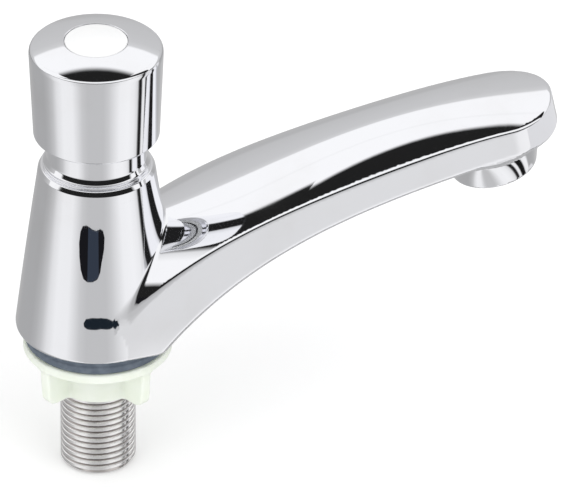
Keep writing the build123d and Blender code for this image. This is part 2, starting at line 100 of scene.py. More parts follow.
class Value:
    """A shader socket whose arithmetic adds Math nodes."""

    def __init__(self, nodes: "Nodes", socket: Any) -> None:
        """Wraps a socket of a node tree.

        Args:
            nodes: the tree that new nodes go into.
            socket: the output socket.
        """
        self.nodes = nodes
        self.socket = socket

    def math(self, operation: str, *others: Term, first: bool = True) -> "Value":
        """Adds one Math node.

        Args:
            operation: Blender's name of the operation.
            others: the other operands.
            first: whether this value is the first operand.

        Returns:
            The result's socket.
        """
        terms = [self, *others] if first else [*others, self]
        made = self.nodes.add("ShaderNodeMath", {"operation": operation}, dict(enumerate(terms)))
        return self.nodes.out(made, 0)

    def __add__(self, other: Term) -> "Value":
        """Sum."""
        return self.math("ADD", other)

    def __radd__(self, other: float) -> "Value":
        """Sum with a number on the left."""
        return self.math("ADD", other)

    def __sub__(self, other: Term) -> "Value":
        """Difference."""
        return self.math("SUBTRACT", other)

    def __rsub__(self, other: float) -> "Value":
        """Difference from a number."""
        return self.math("SUBTRACT", other, first=False)

    def __mul__(self, other: Term) -> "Value":
        """Product."""
        return self.math("MULTIPLY", other)

    def __rmul__(self, other: float) -> "Value":
        """Product with a number on the left."""
        return self.math("MULTIPLY", other)

    def __truediv__(self, other: Term) -> "Value":
        """Quotient."""
        return self.math("DIVIDE", other)

    def lower(self, other: Term) -> "Value":
        """The lower of two values."""
        return self.math("MINIMUM", other)

    def higher(self, other: Term) -> "Value":
        """The higher of two values."""
        return self.math("MAXIMUM", other)

    def step(self, low: float, high: float) -> "Value":
        """Smooth step from 0 at low to 1 at high."""
        inputs = {"Value": self, "From Min": low, "From Max": high, "To Min": 0.0, "To Max": 1.0}
        made = self.nodes.add("ShaderNodeMapRange", {"interpolation_type": "SMOOTHSTEP"}, inputs)
        return self.nodes.out(made, "Result")

    def span(self, low: float, high: float) -> "Value":
        """Linear map of 0..1 onto low..high."""
        return self * (high - low) + low


class Nodes:
    """Makes the nodes of one material or of the world."""

    def __init__(self, owner: Any) -> None:
        """Empties the owner's node tree.

        Args:
            owner: a material or a world.
        """
        owner.use_nodes = True
        self.tree = owner.node_tree
        self.tree.nodes.clear()

    def add(self, kind: str, settings: dict[str, Any], inputs: dict[Any, Any]) -> Any:
        """Adds one node: its settings first, then its sockets.

        Args:
            kind: Blender's type name of the node.
            settings: its properties; "stops" holds a ramp's places and values.
            inputs: values or links by socket name or number.

        Returns:
            The node.
        """
        node = self.tree.nodes.new(kind)
        for name, setting in settings.items():
            if name == "stops":
                self._fill_ramp(node.color_ramp, setting)
            else:
                setattr(node, name, setting)
        for name, value in inputs.items():
            if isinstance(value, Value):
                self.tree.links.new(value.socket, node.inputs[name])
            else:
                node.inputs[name].default_value = value
        return node

    def out(self, node: Any, name: Union[str, int]) -> Value:
        """An output socket of a node."""
        return Value(self, node.outputs[name])

    def position(self) -> Value:
        """Place on the object, in metres."""
        return self.out(self.add("ShaderNodeTexCoord", {}, {}), "Object")

    def noise(self, place: Value, scale: float, detail: float = 3.0) -> Value:
        """Fractal noise from 0 to 1 at a scale per metre."""
        inputs = {"Vector": place, "Scale": scale, "Detail": detail, "Roughness": 0.55}
        return self.out(self.add("ShaderNodeTexNoise", {}, inputs), 0)

    def stretched(self, place: Value, scale: Sequence[float]) -> Value:
        """Place multiplied along each axis."""
        made = self.add("ShaderNodeMapping", {}, {"Vector": place, "Scale": tuple(scale)})
        return self.out(made, 0)

    def dot(self, place: Value, axis: Place) -> Value:
        """Length of a place or direction along an axis."""
        made = self.add("ShaderNodeVectorMath", {"operation": "DOT_PRODUCT"}, {0: place, 1: axis})
        return self.out(made, "Value")

    def ramp(self, share: Value, stops: Sequence[Span]) -> Value:
        """Grey read off a ramp of places and linear values."""
        return self.out(self.add("ShaderNodeValToRGB", {"stops": stops}, {"Fac": share}), 0)

    def blend(self, share: Term, first: Any, second: Any) -> Value:
        """Mix of two colours by a share."""
        made = self.add("ShaderNodeMix", {"data_type": "RGBA"}, {})
        sockets = [made.inputs[number] for number in (0, 6, 7)]
        for socket, value in zip(sockets, (share, first, second)):
            if isinstance(value, Value):
                self.tree.links.new(value.socket, socket)
            else:
                socket.default_value = (*value, 1.0) if isinstance(value, tuple) else value
        return self.out(made, 2)

    def bump(self, height: Value, distance: float) -> Value:
        """Normal tilted by a height, whose full span is a distance in metres."""
        inputs = {"Height": height, "Distance": distance, "Strength": 1.0}
        return self.out(self.add("ShaderNodeBump", {}, inputs), 0)

    def finish(self, shader: Any) -> None:
        """Ends a material's tree with a shader node."""
        self.add("ShaderNodeOutputMaterial", {}, {"Surface": self.out(shader, 0)})

    @staticmethod
    def _fill_ramp(ramp: Any, stops: Sequence[Span]) -> None:
        """Sets a grey ramp's stops from places and linear values."""
        while len(ramp.elements) > 1:
            ramp.elements.remove(ramp.elements[-1])
        ramp.elements[0].position = stops[0][0]
        ramp.elements[0].color = (*(stops[0][1],) * 3, 1.0)
        for place, value in stops[1:]:
            ramp.elements.new(place).color = (value, value, value, 1.0)


# Finishes


class Finish:
    """A finish, whose shader inputs each kind works out from the place on the piece."""

    slot: Slot

    def inputs(self, nodes: Nodes, place: Value) -> dict[str, Any]:
        """Inputs of the Principled shader; each kind gives its own."""
        raise NotImplementedError

    def make(self) -> Any:
        """Material named after its slot."""
        material = bpy.data.materials.new(self.slot.value)
        nodes = Nodes(material)
        inputs = self.inputs(nodes, nodes.position())
        nodes.finish(nodes.add("ShaderNodeBsdfPrincipled", {}, inputs))
        return material


@dataclass(frozen=True)
class PolishedChrome(Finish):
    """Bright plating with faint polishing haze and the least orange peel."""

    slot: Slot = Slot.CHROME
    tint: Colour = (0.915, 0.92, 0.95)
    haze_tint: Colour = (0.88, 0.88, 0.90)
    haze_scale: float = 38.0
    clean: float = 0.028
    hazed: float = 0.075
    buffing_scale: float = 900.0
    buffing: float = 0.012
    peel_scale: float = 260.0
    peel: float = 0.000004

    def inputs(self, nodes: Nodes, place: Value) -> dict[str, Any]:
        """Noise drives haze, colour and a very small bump."""
        haze = nodes.noise(place, self.haze_scale, 4.0).step(0.45, 0.75)
        buffed = nodes.noise(nodes.stretched(place, (1.0, 1.0, 0.25)), self.buffing_scale, 2.0)
        return {
            "Base Color": nodes.blend(haze, self.tint, self.haze_tint),
            "Metallic": 1.0,
            "Roughness": haze.span(self.clean, self.hazed) + buffed * self.buffing,
            "Normal": nodes.bump(nodes.noise(place, self.peel_scale, 1.0), self.peel),
        }


@dataclass(frozen=True)
class CutThread(Finish):
    """Nickel-bright cut thread, darker and warmer towards the roots, with lathe lines."""

    slot: Slot = Slot.THREAD
    crest: Colour = (0.95, 0.94, 0.94)
    root: Colour = (0.60, 0.57, 0.55)
    root_to_crest: Span = (9.3, 10.45)
    patch_scale: float = 240.0
    rough: Span = (0.20, 0.10)
    line_scale: Place = (30.0, 30.0, 4000.0)
    line_rough: float = 0.05
    line_depth: float = 0.00001

    def inputs(self, nodes: Nodes, place: Value) -> dict[str, Any]:
        """The colour follows the radius, worked out from the place."""
        apart = nodes.add("ShaderNodeSeparateXYZ", {}, {"Vector": place})
        x, y = nodes.out(apart, "X"), nodes.out(apart, "Y")
        height = ((x * x + y * y).math("SQRT") / MM).step(*self.root_to_crest)
        patches = nodes.noise(place, self.patch_scale, 4.0).step(0.3, 0.8)
        lines = nodes.noise(nodes.stretched(place, self.line_scale), 1.0, 2.0)
        return {
            "Base Color": nodes.blend(height * patches.span(0.8, 1.0), self.root, self.crest),
            "Metallic": 1.0,
            "Roughness": patches.span(*self.rough) + lines * self.line_rough,
            "Normal": nodes.bump(lines, self.line_depth),
        }


@dataclass(frozen=True)
class Rubber(Finish):
    """Moulded rubber with a dusty bloom."""

    slot: Slot
    colour: Colour
    bloom: Colour
    mottle_scale: float = 420.0
    rough: Span = (0.42, 0.62)
    grain_scale: float = 5200.0
    grain: float = 0.00002

    def inputs(self, nodes: Nodes, place: Value) -> dict[str, Any]:
        """A matt, slightly mottled surface."""
        mottle = nodes.noise(place, self.mottle_scale, 5.0)
        return {
            "Base Color": nodes.blend(mottle.step(0.35, 0.8), self.colour, self.bloom),
            "Roughness": mottle.span(*self.rough),
            "Specular IOR Level": 0.4,
            "Normal": nodes.bump(nodes.noise(place, self.grain_scale), self.grain),
        }


@dataclass(frozen=True)
class Plastic(Finish):
    """Injection moulded plastic, cloudy where it lets light through."""

    slot: Slot
    colour: Colour
    shade: Colour
    see_through: float = 0.0
    rough: float = 0.32
    cloud_scale: float = 110.0
    cloud_rough: float = 0.12
    grain_scale: float = 3600.0
    grain: float = 0.00001

    def inputs(self, nodes: Nodes, place: Value) -> dict[str, Any]:
        """Cloudy colour, a soft gloss and a fine moulded grain."""
        cloud = nodes.noise(place, self.cloud_scale)
        inputs: dict[str, Any] = {
            "Base Color": nodes.blend(cloud.step(0.3, 0.75), self.colour, self.shade),
            "Roughness": cloud.span(self.rough, self.rough + self.cloud_rough),
            "Normal": nodes.bump(nodes.noise(place, self.grain_scale, 4.0), self.grain),
        }
        if self.see_through:
            inputs["Subsurface Weight"] = self.see_through
            inputs["Subsurface Radius"] = (1.0, 1.0, 0.9)
            inputs["Subsurface Scale"] = 0.003
        return inputs


@dataclass(frozen=True)
class BareMetal(Finish):
    """Turned or drawn metal with tool lines round Z."""

    slot: Slot
    colour: Colour
    dull: Colour
    rough: float
    tarnish_scale: float = 180.0
    tarnish_rough: float = 0.15
    line_scale: Place = (40.0, 40.0, 6000.0)
    line_rough: float = 0.06
    line_depth: float = 0.000006

    def inputs(self, nodes: Nodes, place: Value) -> dict[str, Any]:
        """Uneven tarnish and fine turned lines."""
        tarnish = nodes.noise(place, self.tarnish_scale, 5.0).step(0.35, 0.75)
        lines = nodes.noise(nodes.stretched(place, self.line_scale), 1.0, 2.0)
        rough = tarnish.span(self.rough, self.rough + self.tarnish_rough)
        return {
            "Base Color": nodes.blend(tarnish, self.colour, self.dull),
            "Metallic": 1.0,
            "Roughness": rough + lines * self.line_rough,
            "Normal": nodes.bump(lines, self.line_depth),
        }


@dataclass(frozen=True)
class PressedFibre(Finish):
    """Red-brown pressed fibre with short flecks."""

    slot: Slot = Slot.FIBRE
    colour: Colour = (0.42, 0.13, 0.07)
    fleck: Colour = (0.58, 0.27, 0.17)
    fleck_scale: float = 1500.0
    rough: Span = (0.6, 0.85)
    relief: float = 0.00003

    def inputs(self, nodes: Nodes, place: Value) -> dict[str, Any]:
        """Fibre flecks in colour and height."""
        flecks = nodes.noise(nodes.stretched(place, (1.0, 2.6, 1.0)), self.fleck_scale, 5.0)
        return {
            "Base Color": nodes.blend(flecks.step(0.45, 0.7), self.colour, self.fleck),
            "Roughness": flecks.span(*self.rough),
            "Normal": nodes.bump(flecks, self.relief),
        }


class Palette:
    """All finishes by slot."""

    def __init__(self) -> None:
        """Makes each finish once."""
        finishes: tuple[Finish, ...] = (
            PolishedChrome(),
            CutThread(),
            Rubber(Slot.GASKET, (0.092, 0.118, 0.155), (0.15, 0.18, 0.22)),
            Rubber(Slot.SEAL, (0.018, 0.018, 0.02), (0.04, 0.04, 0.043)),
            Plastic(Slot.NUT, (0.84, 0.88, 0.80), (0.78, 0.83, 0.72), see_through=0.35, rough=0.28),
            Plastic(Slot.DISC, (0.93, 0.93, 0.93), (0.90, 0.905, 0.91), rough=0.18, grain=0.000004),
            Plastic(Slot.HOUSING, (0.74, 0.75, 0.74), (0.66, 0.67, 0.66)),
            PressedFibre(),
            BareMetal(Slot.BRASS, (0.78, 0.60, 0.30), (0.62, 0.46, 0.22), 0.24),
            BareMetal(Slot.SPRING, (0.72, 0.73, 0.74), (0.55, 0.56, 0.58), 0.22),
        )
        self.materials: dict[Slot, Any] = {finish.slot: finish.make() for finish in finishes}

    def dress(self, piece: Any, slot: Slot) -> None:
        """Gives a piece one finish on all its faces."""
        piece.data.materials.clear()
        piece.data.materials.append(self.materials[slot])


# Meshes


@dataclass
class Surface:
    """Points, faces and unit normals of a finished surface, in millimetres."""

    points: np.ndarray
    faces: list[np.ndarray]
    normals: np.ndarray

    def joined(self, other: "Surface") -> "Surface":
        """Both surfaces as one; the faces of the second count on from the points of the first."""
        faces = [*self.faces, *(rows + len(self.points) for rows in other.faces)]
        points = np.concatenate([self.points, other.points])
        return Surface(points, faces, np.concatenate([self.normals, other.normals]))


def linked(name: str, data: Any) -> Any:
    """New object in the scene, at the origin."""
    made = bpy.data.objects.new(name, data)
    bpy.context.scene.collection.objects.link(made)
    return made


class Shop:
    """Turns surfaces into pieces of the part."""

    def __init__(self, palette: Palette) -> None:
        """Keeps the finishes that pieces are dressed with."""
        self.palette = palette

    def piece(
        self, name: str, form: Surface, slot: Slot, body: Body, replaced: Sequence[str]
    ) -> Any:
        """Makes a mesh, dresses it and seats it on its body.

        Args:
            name: the piece's name.
            form: its surface in millimetres.
            slot: its finish.
            body: the body that it rides on.
            replaced: the nodes that it stands for.

        Returns:
            The object.
        """
        mesh = bpy.data.meshes.new(name)
        sizes = np.concatenate([np.full(len(f), f.shape[1]) for f in form.faces])
        corners = np.concatenate([f.ravel() for f in form.faces]).astype(np.int32)
        starts = np.concatenate(([0], np.cumsum(sizes)[:-1])).astype(np.int32)
        mesh.vertices.add(len(form.points))
        mesh.vertices.foreach_set("co", (form.points * MM).astype(np.float32).ravel())
        mesh.loops.add(len(corners))
        mesh.loops.foreach_set("vertex_index", corners)
        mesh.polygons.add(len(sizes))
        mesh.polygons.foreach_set("loop_start", starts)
        mesh.update(calc_edges=True)
        mesh.validate()
        mesh.polygons.foreach_set("use_smooth", np.ones(len(mesh.polygons), bool))
        if len(mesh.vertices) == len(form.normals):
            mesh.normals_split_custom_set_from_vertices(form.normals.astype(np.float32))
        piece = linked(name, mesh)
        self.palette.dress(piece, slot)
        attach(piece, body.value)
        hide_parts(*replaced)
        log.info("%s: %d points, %d faces", name, len(mesh.vertices), len(mesh.polygons))
        return piece


def unit(vectors: np.ndarray) -> np.ndarray:
    """Vectors along the last axis, each divided by its length."""
    return vectors / np.maximum(np.linalg.norm(vectors, axis=-1, keepdims=True), 1e-12)


def eased(share: np.ndarray) -> np.ndarray:
    """Smooth step 3s² - 2s³ of a share from 0 to 1."""
    return share * share * (3 - 2 * share)


def softened(corners: Sequence[tuple[float, float, float]], steps: int = 6) -> np.ndarray:
    """Closed outline with each corner rounded.

    A corner C with soft radius r is left at A = C + r·(towards the corner before) and reached
    again at D = C + r·(towards the next), joined by the curve (1-t)²A + 2t(1-t)C + t²D.

    Args:
        corners: radius, height and soft radius of each corner.
        steps: spans per rounded corner.

    Returns:
        Points as rows of radius and height.
    """
    rows = np.array(corners, float)
    place, soft = rows[:, :2], rows[:, 2:3]
    start, end = (place + unit(np.roll(place, way, axis=0) - place) * soft for way in (1, -1))
    start, end = start[:, None], end[:, None]
    t = np.linspace(0, 1, steps + 1)[None, :, None]
    curve = (1 - t) ** 2 * start + 2 * t * (1 - t) * place[:, None] + t**2 * end
    points = curve.reshape(-1, 2)
    keep = np.linalg.norm(points - np.roll(points, 1, axis=0), axis=1) > 1e-6
    return points[keep]


def grid_faces(rows: int, columns: int, looped: bool = False) -> np.ndarray:
    """Quads of a grid that closes round its columns.

    Point (j, i) has the number j·columns + i. A quad runs (j, i), (j, i+1), (j+1, i+1), (j+1, i).

    Args:
        rows: points along the outline.
        columns: points round it.
        looped: whether the rows close too.

    Returns:
        Four point numbers for each face.
    """
    j, i = np.meshgrid(np.arange(rows if looped else rows - 1), np.arange(columns), indexing="ij")
    nj, ni = (j + 1) % rows, (i + 1) % columns
    corners = [j * columns + i, j * columns + ni, nj * columns + ni, nj * columns + i]
    return np.stack(corners, axis=-1).reshape(-1, 4)


def end_faces(rows: int, columns: int) -> np.ndarray:
    """Fans from a grid's first and last rows to two poles, which are numbered after its points.

    Args:
        rows: points along the outline.
        columns: points round it.

    Returns:
        Three point numbers for each face.
    """
    first = np.arange(columns)
    second, last = (first + 1) % columns, (rows - 1) * columns
    pole = np.full(columns, rows * columns)
    below = np.stack([second, first, pole], axis=-1)
    above = np.stack([last + first, last + second, pole + 1], axis=-1)
    return np.concatenate([below, above])


def circle(columns: int) -> np.ndarray:
    """Angles of evenly spaced points round a circle."""
    return np.arange(columns) * 2 * math.pi / columns


def spun(radius: np.ndarray, angle: np.ndarray, height: np.ndarray) -> np.ndarray:
    """Points (r·cos a, r·sin a, z) of a grid of radii, angles and heights."""
    columns = (radius * np.cos(angle), radius * np.sin(angle), height)
    return np.stack(np.broadcast_arrays(*columns), axis=-1)


def turned(outline: np.ndarray, turns: int = 192, swell: Optional[Callable] = None) -> Surface:
    """Ring turned about Z from a closed outline that stays off the axis.

    The point of row j and column i is (r·cos a, r·sin a, z) with a = 2·pi·i/turns. Normals are the
    outline's, each the mean of its two runs weighted by their lengths.

    Args:
        outline: radius and height of each point.
        turns: points round the axis.
        swell: change of radius as a function of radius, angle and height.

    Returns:
        The surface, with its faces outwards.
    """
    ahead = np.roll(outline, -1, axis=0)
    if np.sum(outline[:, 0] * ahead[:, 1] - ahead[:, 0] * outline[:, 1]) < 0:
        outline = outline[::-1]
    angle = circle(turns)
    radius, height = (np.repeat(outline[:, k:k + 1], turns, axis=1) for k in (0, 1))
    if swell is not None:
        radius = radius + swell(radius, angle[None, :], height)
    points = spun(radius, angle, height)
    along = np.roll(points, -1, axis=0) - points
    around = np.roll(points, -1, axis=1) - np.roll(points, 1, axis=1)
    sides = np.cross(around, along)
    normals = unit(sides + np.roll(sides, 1, axis=0))
    faces = grid_faces(len(outline), turns, looped=True)
    return Surface(points.reshape(-1, 3), [faces], normals.reshape(-1, 3))


def capped(outline: np.ndarray, turns: int = 192) -> Surface:
    """Solid turned about Z from an open outline that runs from the axis below to the axis above.

    The first and last points lie on the axis and close with fans.

    Args:
        outline: radius and height of each point, from the lower pole to the upper one.
        turns: points round the axis.

    Returns:
        The surface, with its faces outwards.
    """
    angle = circle(turns)
    runs = np.diff(outline, axis=0)
    across = np.stack([runs[:, 1], -runs[:, 0]], axis=-1)
    grids = [
        spun(rows[:, :1], angle, rows[:, 1:]).reshape(-1, 3)
        for rows in (outline[1:-1], unit(across[:-1] + across[1:]))]
    points = np.concatenate([grids[0], [[0, 0, outline[0, 1]], [0, 0, outline[-1, 1]]]])
    normals = np.concatenate([grids[1], [[0, 0, -1], [0, 0, 1]]])
    rows = len(outline) - 2
    return Surface(points, [grid_faces(rows, turns), end_faces(rows, turns)], normals)


def round_join(a: np.ndarray, b: np.ndarray, radius: Reach) -> np.ndarray:
    """Union of two fields with a hollow fillet: max(r, min(a, b)) - |(r - a, r - b)| above zero."""
    hollow = np.hypot(np.maximum(radius - a, 0), np.maximum(radius - b, 0))
    return np.maximum(radius, np.minimum(a, b)) - hollow


def round_cut(a: np.ndarray, b: np.ndarray, radius: Reach) -> np.ndarray:
    """Overlap of two fields with a round edge: min(-r, max(a, b)) + |(r + a, r + b)| above zero."""
    edge = np.hypot(np.maximum(radius + a, 0), np.maximum(radius + b, 0))
    return np.minimum(-radius, np.maximum(a, b)) + edge


class CastForm:
    """A form given by a field that is below zero inside, meshed on a fine grid."""

    low: Place = (0.0, 0.0, 0.0)
    high: Place = (0.0, 0.0, 0.0)
    pitch: float = 0.6

    def field(self, x: np.ndarray, y: np.ndarray, z: np.ndarray) -> np.ndarray:
        """Signed depth at each place; each form gives its own."""
        raise NotImplementedError

    def slope(self, points: np.ndarray, reach: float = 0.02) -> np.ndarray:
        """Gradient of the field by central differences over a short reach."""
        columns = []
        for axis in range(3):
            shift = np.zeros(3)
            shift[axis] = reach
            ahead, behind = points + shift, points - shift
            columns.append((self.field(*ahead.T) - self.field(*behind.T)) / (2 * reach))
        return np.stack(columns, axis=-1)

    @staticmethod
    def crossings(depth: np.ndarray, inside: np.ndarray) -> tuple[np.ndarray, np.ndarray]:
        """Adds up the places where the surface crosses the edges of each grid cell.

        An edge from depth a to depth b is crossed at the share a/(a - b) of its length.

        Args:
            depth: the field at the grid's points.
            inside: whether it is below zero there.

        Returns:
            The sum of the places, counted in cells from each cell's corner, and their number.
        """
        shape = tuple(n - 1 for n in depth.shape)
        total, count = np.zeros((*shape, 3)), np.zeros(shape)
        for axis in range(3):
            first, second = [slice(None)] * 3, [slice(None)] * 3
            first[axis], second[axis] = slice(None, -1), slice(1, None)
            a, b = depth[tuple(first)], depth[tuple(second)]
            crossed = inside[tuple(first)] != inside[tuple(second)]
            share = np.where(crossed, a / np.where(crossed, a - b, 1.0), 0.0)
            others = [k for k in range(3) if k != axis]
            for sides in itertools.product((0, 1), repeat=2):
                pick = [slice(None)] * 3
                for other, side in zip(others, sides):
                    pick[other] = slice(side, depth.shape[other] - 1 + side)
                hit = crossed[tuple(pick)]
                count += hit
                total[..., axis] += np.where(hit, share[tuple(pick)], 0.0)
                for other, side in zip(others, sides):
                    total[..., other] += hit * side
        return total, count

    @staticmethod
    def facets(inside: np.ndarray, number: np.ndarray) -> np.ndarray:
        """Joins the four cells round each grid edge that crosses the surface.

        Args:
            inside: whether each point of the grid is inside.
            number: the point that each cell holds.

        Returns:
            Four point numbers for each face, facing outwards.
        """
        faces = []
        for axis in range(3):
            u, v = [k for k in range(3) if k != axis]
            core = [slice(1, -1)] * 3
            core[axis] = slice(None, -1)
            ahead = list(core)
            ahead[axis] = slice(1, None)
            a, b = inside[tuple(core)], inside[tuple(ahead)]
            spot = np.stack(np.nonzero(a != b), axis=-1)
            out = a[a != b] if axis != 1 else ~a[a != b]
            spot[:, [u, v]] += 1
            ring = []
            for du, dv in ((-1, -1), (0, -1), (0, 0), (-1, 0)):
                step = np.zeros(3, int)
                step[u], step[v] = du, dv
                ring.append(number[tuple((spot + step).T)])
            quad = np.stack(ring, axis=-1)
            faces.append(np.where(out[:, None], quad, quad[:, ::-1]))
        return np.concatenate(faces)

    def surface(self, moves: int = 4) -> Surface:
        """Mesh of the zero level.

        Each grid cell that the surface crosses gets one point, the mean of the crossings on its
        edges. Points then move along the gradient g by g·f/|g|², onto the surface.

        Args:
            moves: how often the points move.

        Returns:
            The surface with normals from the gradient.
        """
        axes = [np.arange(l, h + self.pitch, self.pitch) for l, h in zip(self.low, self.high)]
        depth = self.field(*np.meshgrid(*axes, indexing="ij"))
        inside = depth < 0
        total, count = self.crossings(depth, inside)
        used = count > 0
        number = np.full(used.shape, -1, np.int64)
        number[used] = np.arange(int(used.sum()))
        cell = np.stack(np.nonzero(used), axis=-1)
        points = np.array(self.low) + self.pitch * (cell + total[used] / count[used][:, None])
        for _ in range(moves):
            slope = self.slope(points)
            size = np.maximum(np.sum(slope**2, axis=1), 1e-4)
            move = slope * (self.field(*points.T) / size)[:, None]
            points = points - np.clip(move, -self.pitch / 2, self.pitch / 2)
        return Surface(points, [self.facets(inside, number)], unit(self.slope(points)))


# The fixed casting and what it carries


@dataclass
class TapCasting(CastForm):
    """Tapered body, crowned spout and outlet boss, cast in one and plated."""

    low: Place = (-24.0, -24.3, 3.4)
    high: Place = (132.0, 24.3, 67.0)
    pitch: float = 0.63
    base_radius: float = 22.9
    shoulder_radius: float = 16.1
    floor: float = 5.0
    shoulder: float = 57.0
    bulge: float = 0.15
    foot_edge: float = 1.2
    shoulder_edge: float = 0.3
    ledge: float = 15.6
    ledge_slope: float = math.radians(27.0)
    sunk: float = 0.1
    ring_foot: float = 53.0
    ring_top: float = 56.5
    ring_rows: int = 16
    ring_bore: float = 13.12
    ring_lift: float = 0.02
    ridge_start: float = 13.4
    tangent_gap: float = 0.05
    flare: float = 1.2
    flare_reach: float = 22.0
    nose_radius: float = 16.2
    nose_centre: float = 114.0
    nose_height: float = 57.0
    tilt: float = math.radians(11.0)
    reach: float = 130.2
    roof: float = 64.0
    ridge_edge: float = 0.8
    lower_edge: float = 2.2
    crest_start: float = 10.0
    under_start: float = 15.0
    least_rise: float = 0.8
    arc_share: float = 0.97
    # Shares of the reach, and the ridge's and crest's heights there as shares of the roof's
    stations: tuple[float, ...] = (
        0.0, 0.077, 0.154, 0.261, 0.384, 0.507, 0.66, 0.78, 0.868, 0.952, 1.03)
    ridges: tuple[float, ...] = (
        0.211, 0.369, 0.4885, 0.6091, 0.7071, 0.7833, 0.8647, 0.9184, 0.946, 0.9553, 0.9411)
    crests: tuple[float, ...] = (
        0.5426, 0.5745, 0.6199, 0.6958, 0.7873, 0.8702, 0.9478, 0.9842, 0.9978, 1.0022, 1.0013)
    under_reaches: tuple[float, ...] = (
        0.115, 0.154, 0.2, 0.276, 0.368, 0.452, 0.544, 0.628, 0.72, 0.82, 1.03)
    under_heights: tuple[float, ...] = (
        0.0788, 0.1622, 0.2489, 0.3685, 0.4813, 0.5612, 0.6309, 0.6829, 0.7313, 0.7763, 0.8456)
    outlet: Span = (113.0, 40.8)
    boss_radius: float = 12.0
    boss_flare: float = 3.4
    boss_waist: float = 1.2
    boss_slant: float = 0.94
    boss_height: float = 10.0
    lip_edge: float = 0.6
    outlet_bore: float = 10.4
    outlet_depth: float = 13.0
    # Radius, lowest and highest height of each chamber round the tower's axis
    chambers: tuple[tuple[float, float, float], ...] = (
        (20.5, 0.0, 6.0), (10.53, 0.0, 14.2), (8.2, 14.0, 24.0), (8.75, 23.9, 31.0),
        (11.2, 31.0, 44.1), (13.1, 44.0, 70.0))
    # Reaches and heights of the waterway's middle, and its half width and half height
    waterway: tuple[tuple[float, ...], tuple[float, ...]] = (
        (0.0, 34.0, 66.0, 101.6, 113.0), (34.8, 33.6, 45.4, 54.4, 53.8))
    waterway_size: Span = (7.5, 2.5)
    waterway_edge: float = 1.6
    join: float = 1.6
    crease: float = 1.3
    root_run: float = 4.0
    root_depth: float = 12.0
    fine_edge: float = 0.45
    sharp_run: float = 24.0
    curves: dict[str, np.ndarray] = field(default_factory=dict)

    def __post_init__(self) -> None:
        """Fits a quartic to each row of heights along the spout, so that the plating runs fair."""
        rows = {
            "ridge": (self.stations, self.ridges),
            "crest": (self.stations[1:], self.crests[1:]),
            "under": (self.under_reaches, self.under_heights),
        }
        for name, (reaches, heights) in rows.items():
            along, up = np.array(reaches) * self.reach, np.array(heights) * self.roof
            self.curves[name] = np.polyfit(along, up, 4)

    def height(self, name: str, x: np.ndarray, start: float) -> np.ndarray:
        """Height of one of the spout's lines, going on straight before its start."""
        curve = self.curves[name]
        near = np.maximum(x, start)
        return np.polyval(curve, near) + np.polyval(np.polyder(curve), start) * (x - near)

    def climb(self, name: str, x: np.ndarray, start: float) -> np.ndarray:
        """Slope of one of the spout's lines."""
        return np.polyval(np.polyder(self.curves[name]), np.maximum(x, start))

    def tower(self, rho: np.ndarray, z: np.ndarray) -> np.ndarray:
        """Cone with a slight swell, a rounded foot and a rounded shoulder."""
        lean = math.atan2(self.base_radius - self.shoulder_radius, self.shoulder - self.floor)
        wall = (rho - self.cone(z)) * math.cos(lean)
        up = z - self.shoulder
        slope = (rho - self.ledge) * math.cos(self.ledge_slope) + up * math.sin(self.ledge_slope)
        solid = round_cut(wall, self.floor - z, self.foot_edge)
        for face in (slope, up):
            solid = round_cut(solid, face + self.sunk, self.shoulder_edge)
        return solid

    def cone(self, z: Reach) -> Reach:
        """Radius of the swelled cone at a height."""
        share = self.rise(z)
        side = self.base_radius + (self.shoulder_radius - self.base_radius) * share
        return side + self.bulge * 4 * share * (1 - share)

    def rise(self, z: Reach) -> Reach:
        """Share of the cone's height, from 0 at its foot to 1 at its shoulder."""
        return (z - self.floor) / (self.shoulder - self.floor)

    def shoulder_ring(self) -> Surface:
        """Fine turned skin of the shoulder: the cone's last rows, the steep edge and the ledge.

        It lies a hair outside the cast form, whose grid is too coarse for this edge.
        """
        run = math.tan(self.ledge_slope)
        rows = np.linspace(self.ring_foot, self.ring_top, self.ring_rows)
        rows = rows[self.ledge + (self.shoulder - rows) * run > self.cone(rows)]
        side = [(float(self.cone(z)) + self.ring_lift, float(z), 0.0) for z in rows]
        corner = float(rows[-1]) + 0.06
        outline = [
            (13.3, self.ring_foot, 0.0), (15.0, self.ring_foot, 0.0),
            (side[0][0], self.ring_foot - 0.01, 0.0), *side,
            (self.ledge + (self.shoulder - corner) * run, corner, 0.04),
            (self.ledge, self.shoulder, 0.25), (self.ring_bore, self.shoulder, 0.15),
            (self.ring_bore, self.shoulder - 1.0, 0.0),
        ]
        return turned(softened(outline, 4), 192)

    def root_radius(self) -> float:
        """Radius of the cone where the ridge starts."""
        grown = (self.shoulder_radius - self.base_radius) * self.rise(self.ridge_start)
        return self.base_radius + grown

    def nose_place(self, z: np.ndarray) -> np.ndarray:
        """Reach of the nose's centre at a height; the nose leans back as it rises."""
        return self.nose_centre + (self.nose_height - z) * math.tan(self.tilt)

    def walls(self, x: np.ndarray, y: np.ndarray, z: np.ndarray) -> np.ndarray:
        """Side walls: in plan, two straight lines that touch a root circle and the nose circle.

        The root circle is the cone's where the ridge starts. Below that it grows as the cone does,
        eased over a short height, and this flare fades out along the spout.
        """
        lean = (self.base_radius - self.shoulder_radius) / (self.shoulder - self.floor)
        grown = lean * self.flare * np.logaddexp(0, (self.ridge_start - z) / self.flare)
        near = np.clip(x / self.flare_reach, 0, 1)
        root = self.root_radius() - self.tangent_gap + grown * (1 - eased(near))
        far = self.nose_place(z)
        b = (root - self.nose_radius) / far
        a = np.sqrt(1 - b * b)
        side = np.abs(y)
        past = a * x - b * side
        straight = a * side + b * x - root
        nose = np.where(past > a * far, np.hypot(x - far, y) - self.nose_radius, straight)
        return np.where(past < 0, np.hypot(x, y) - root, nose)

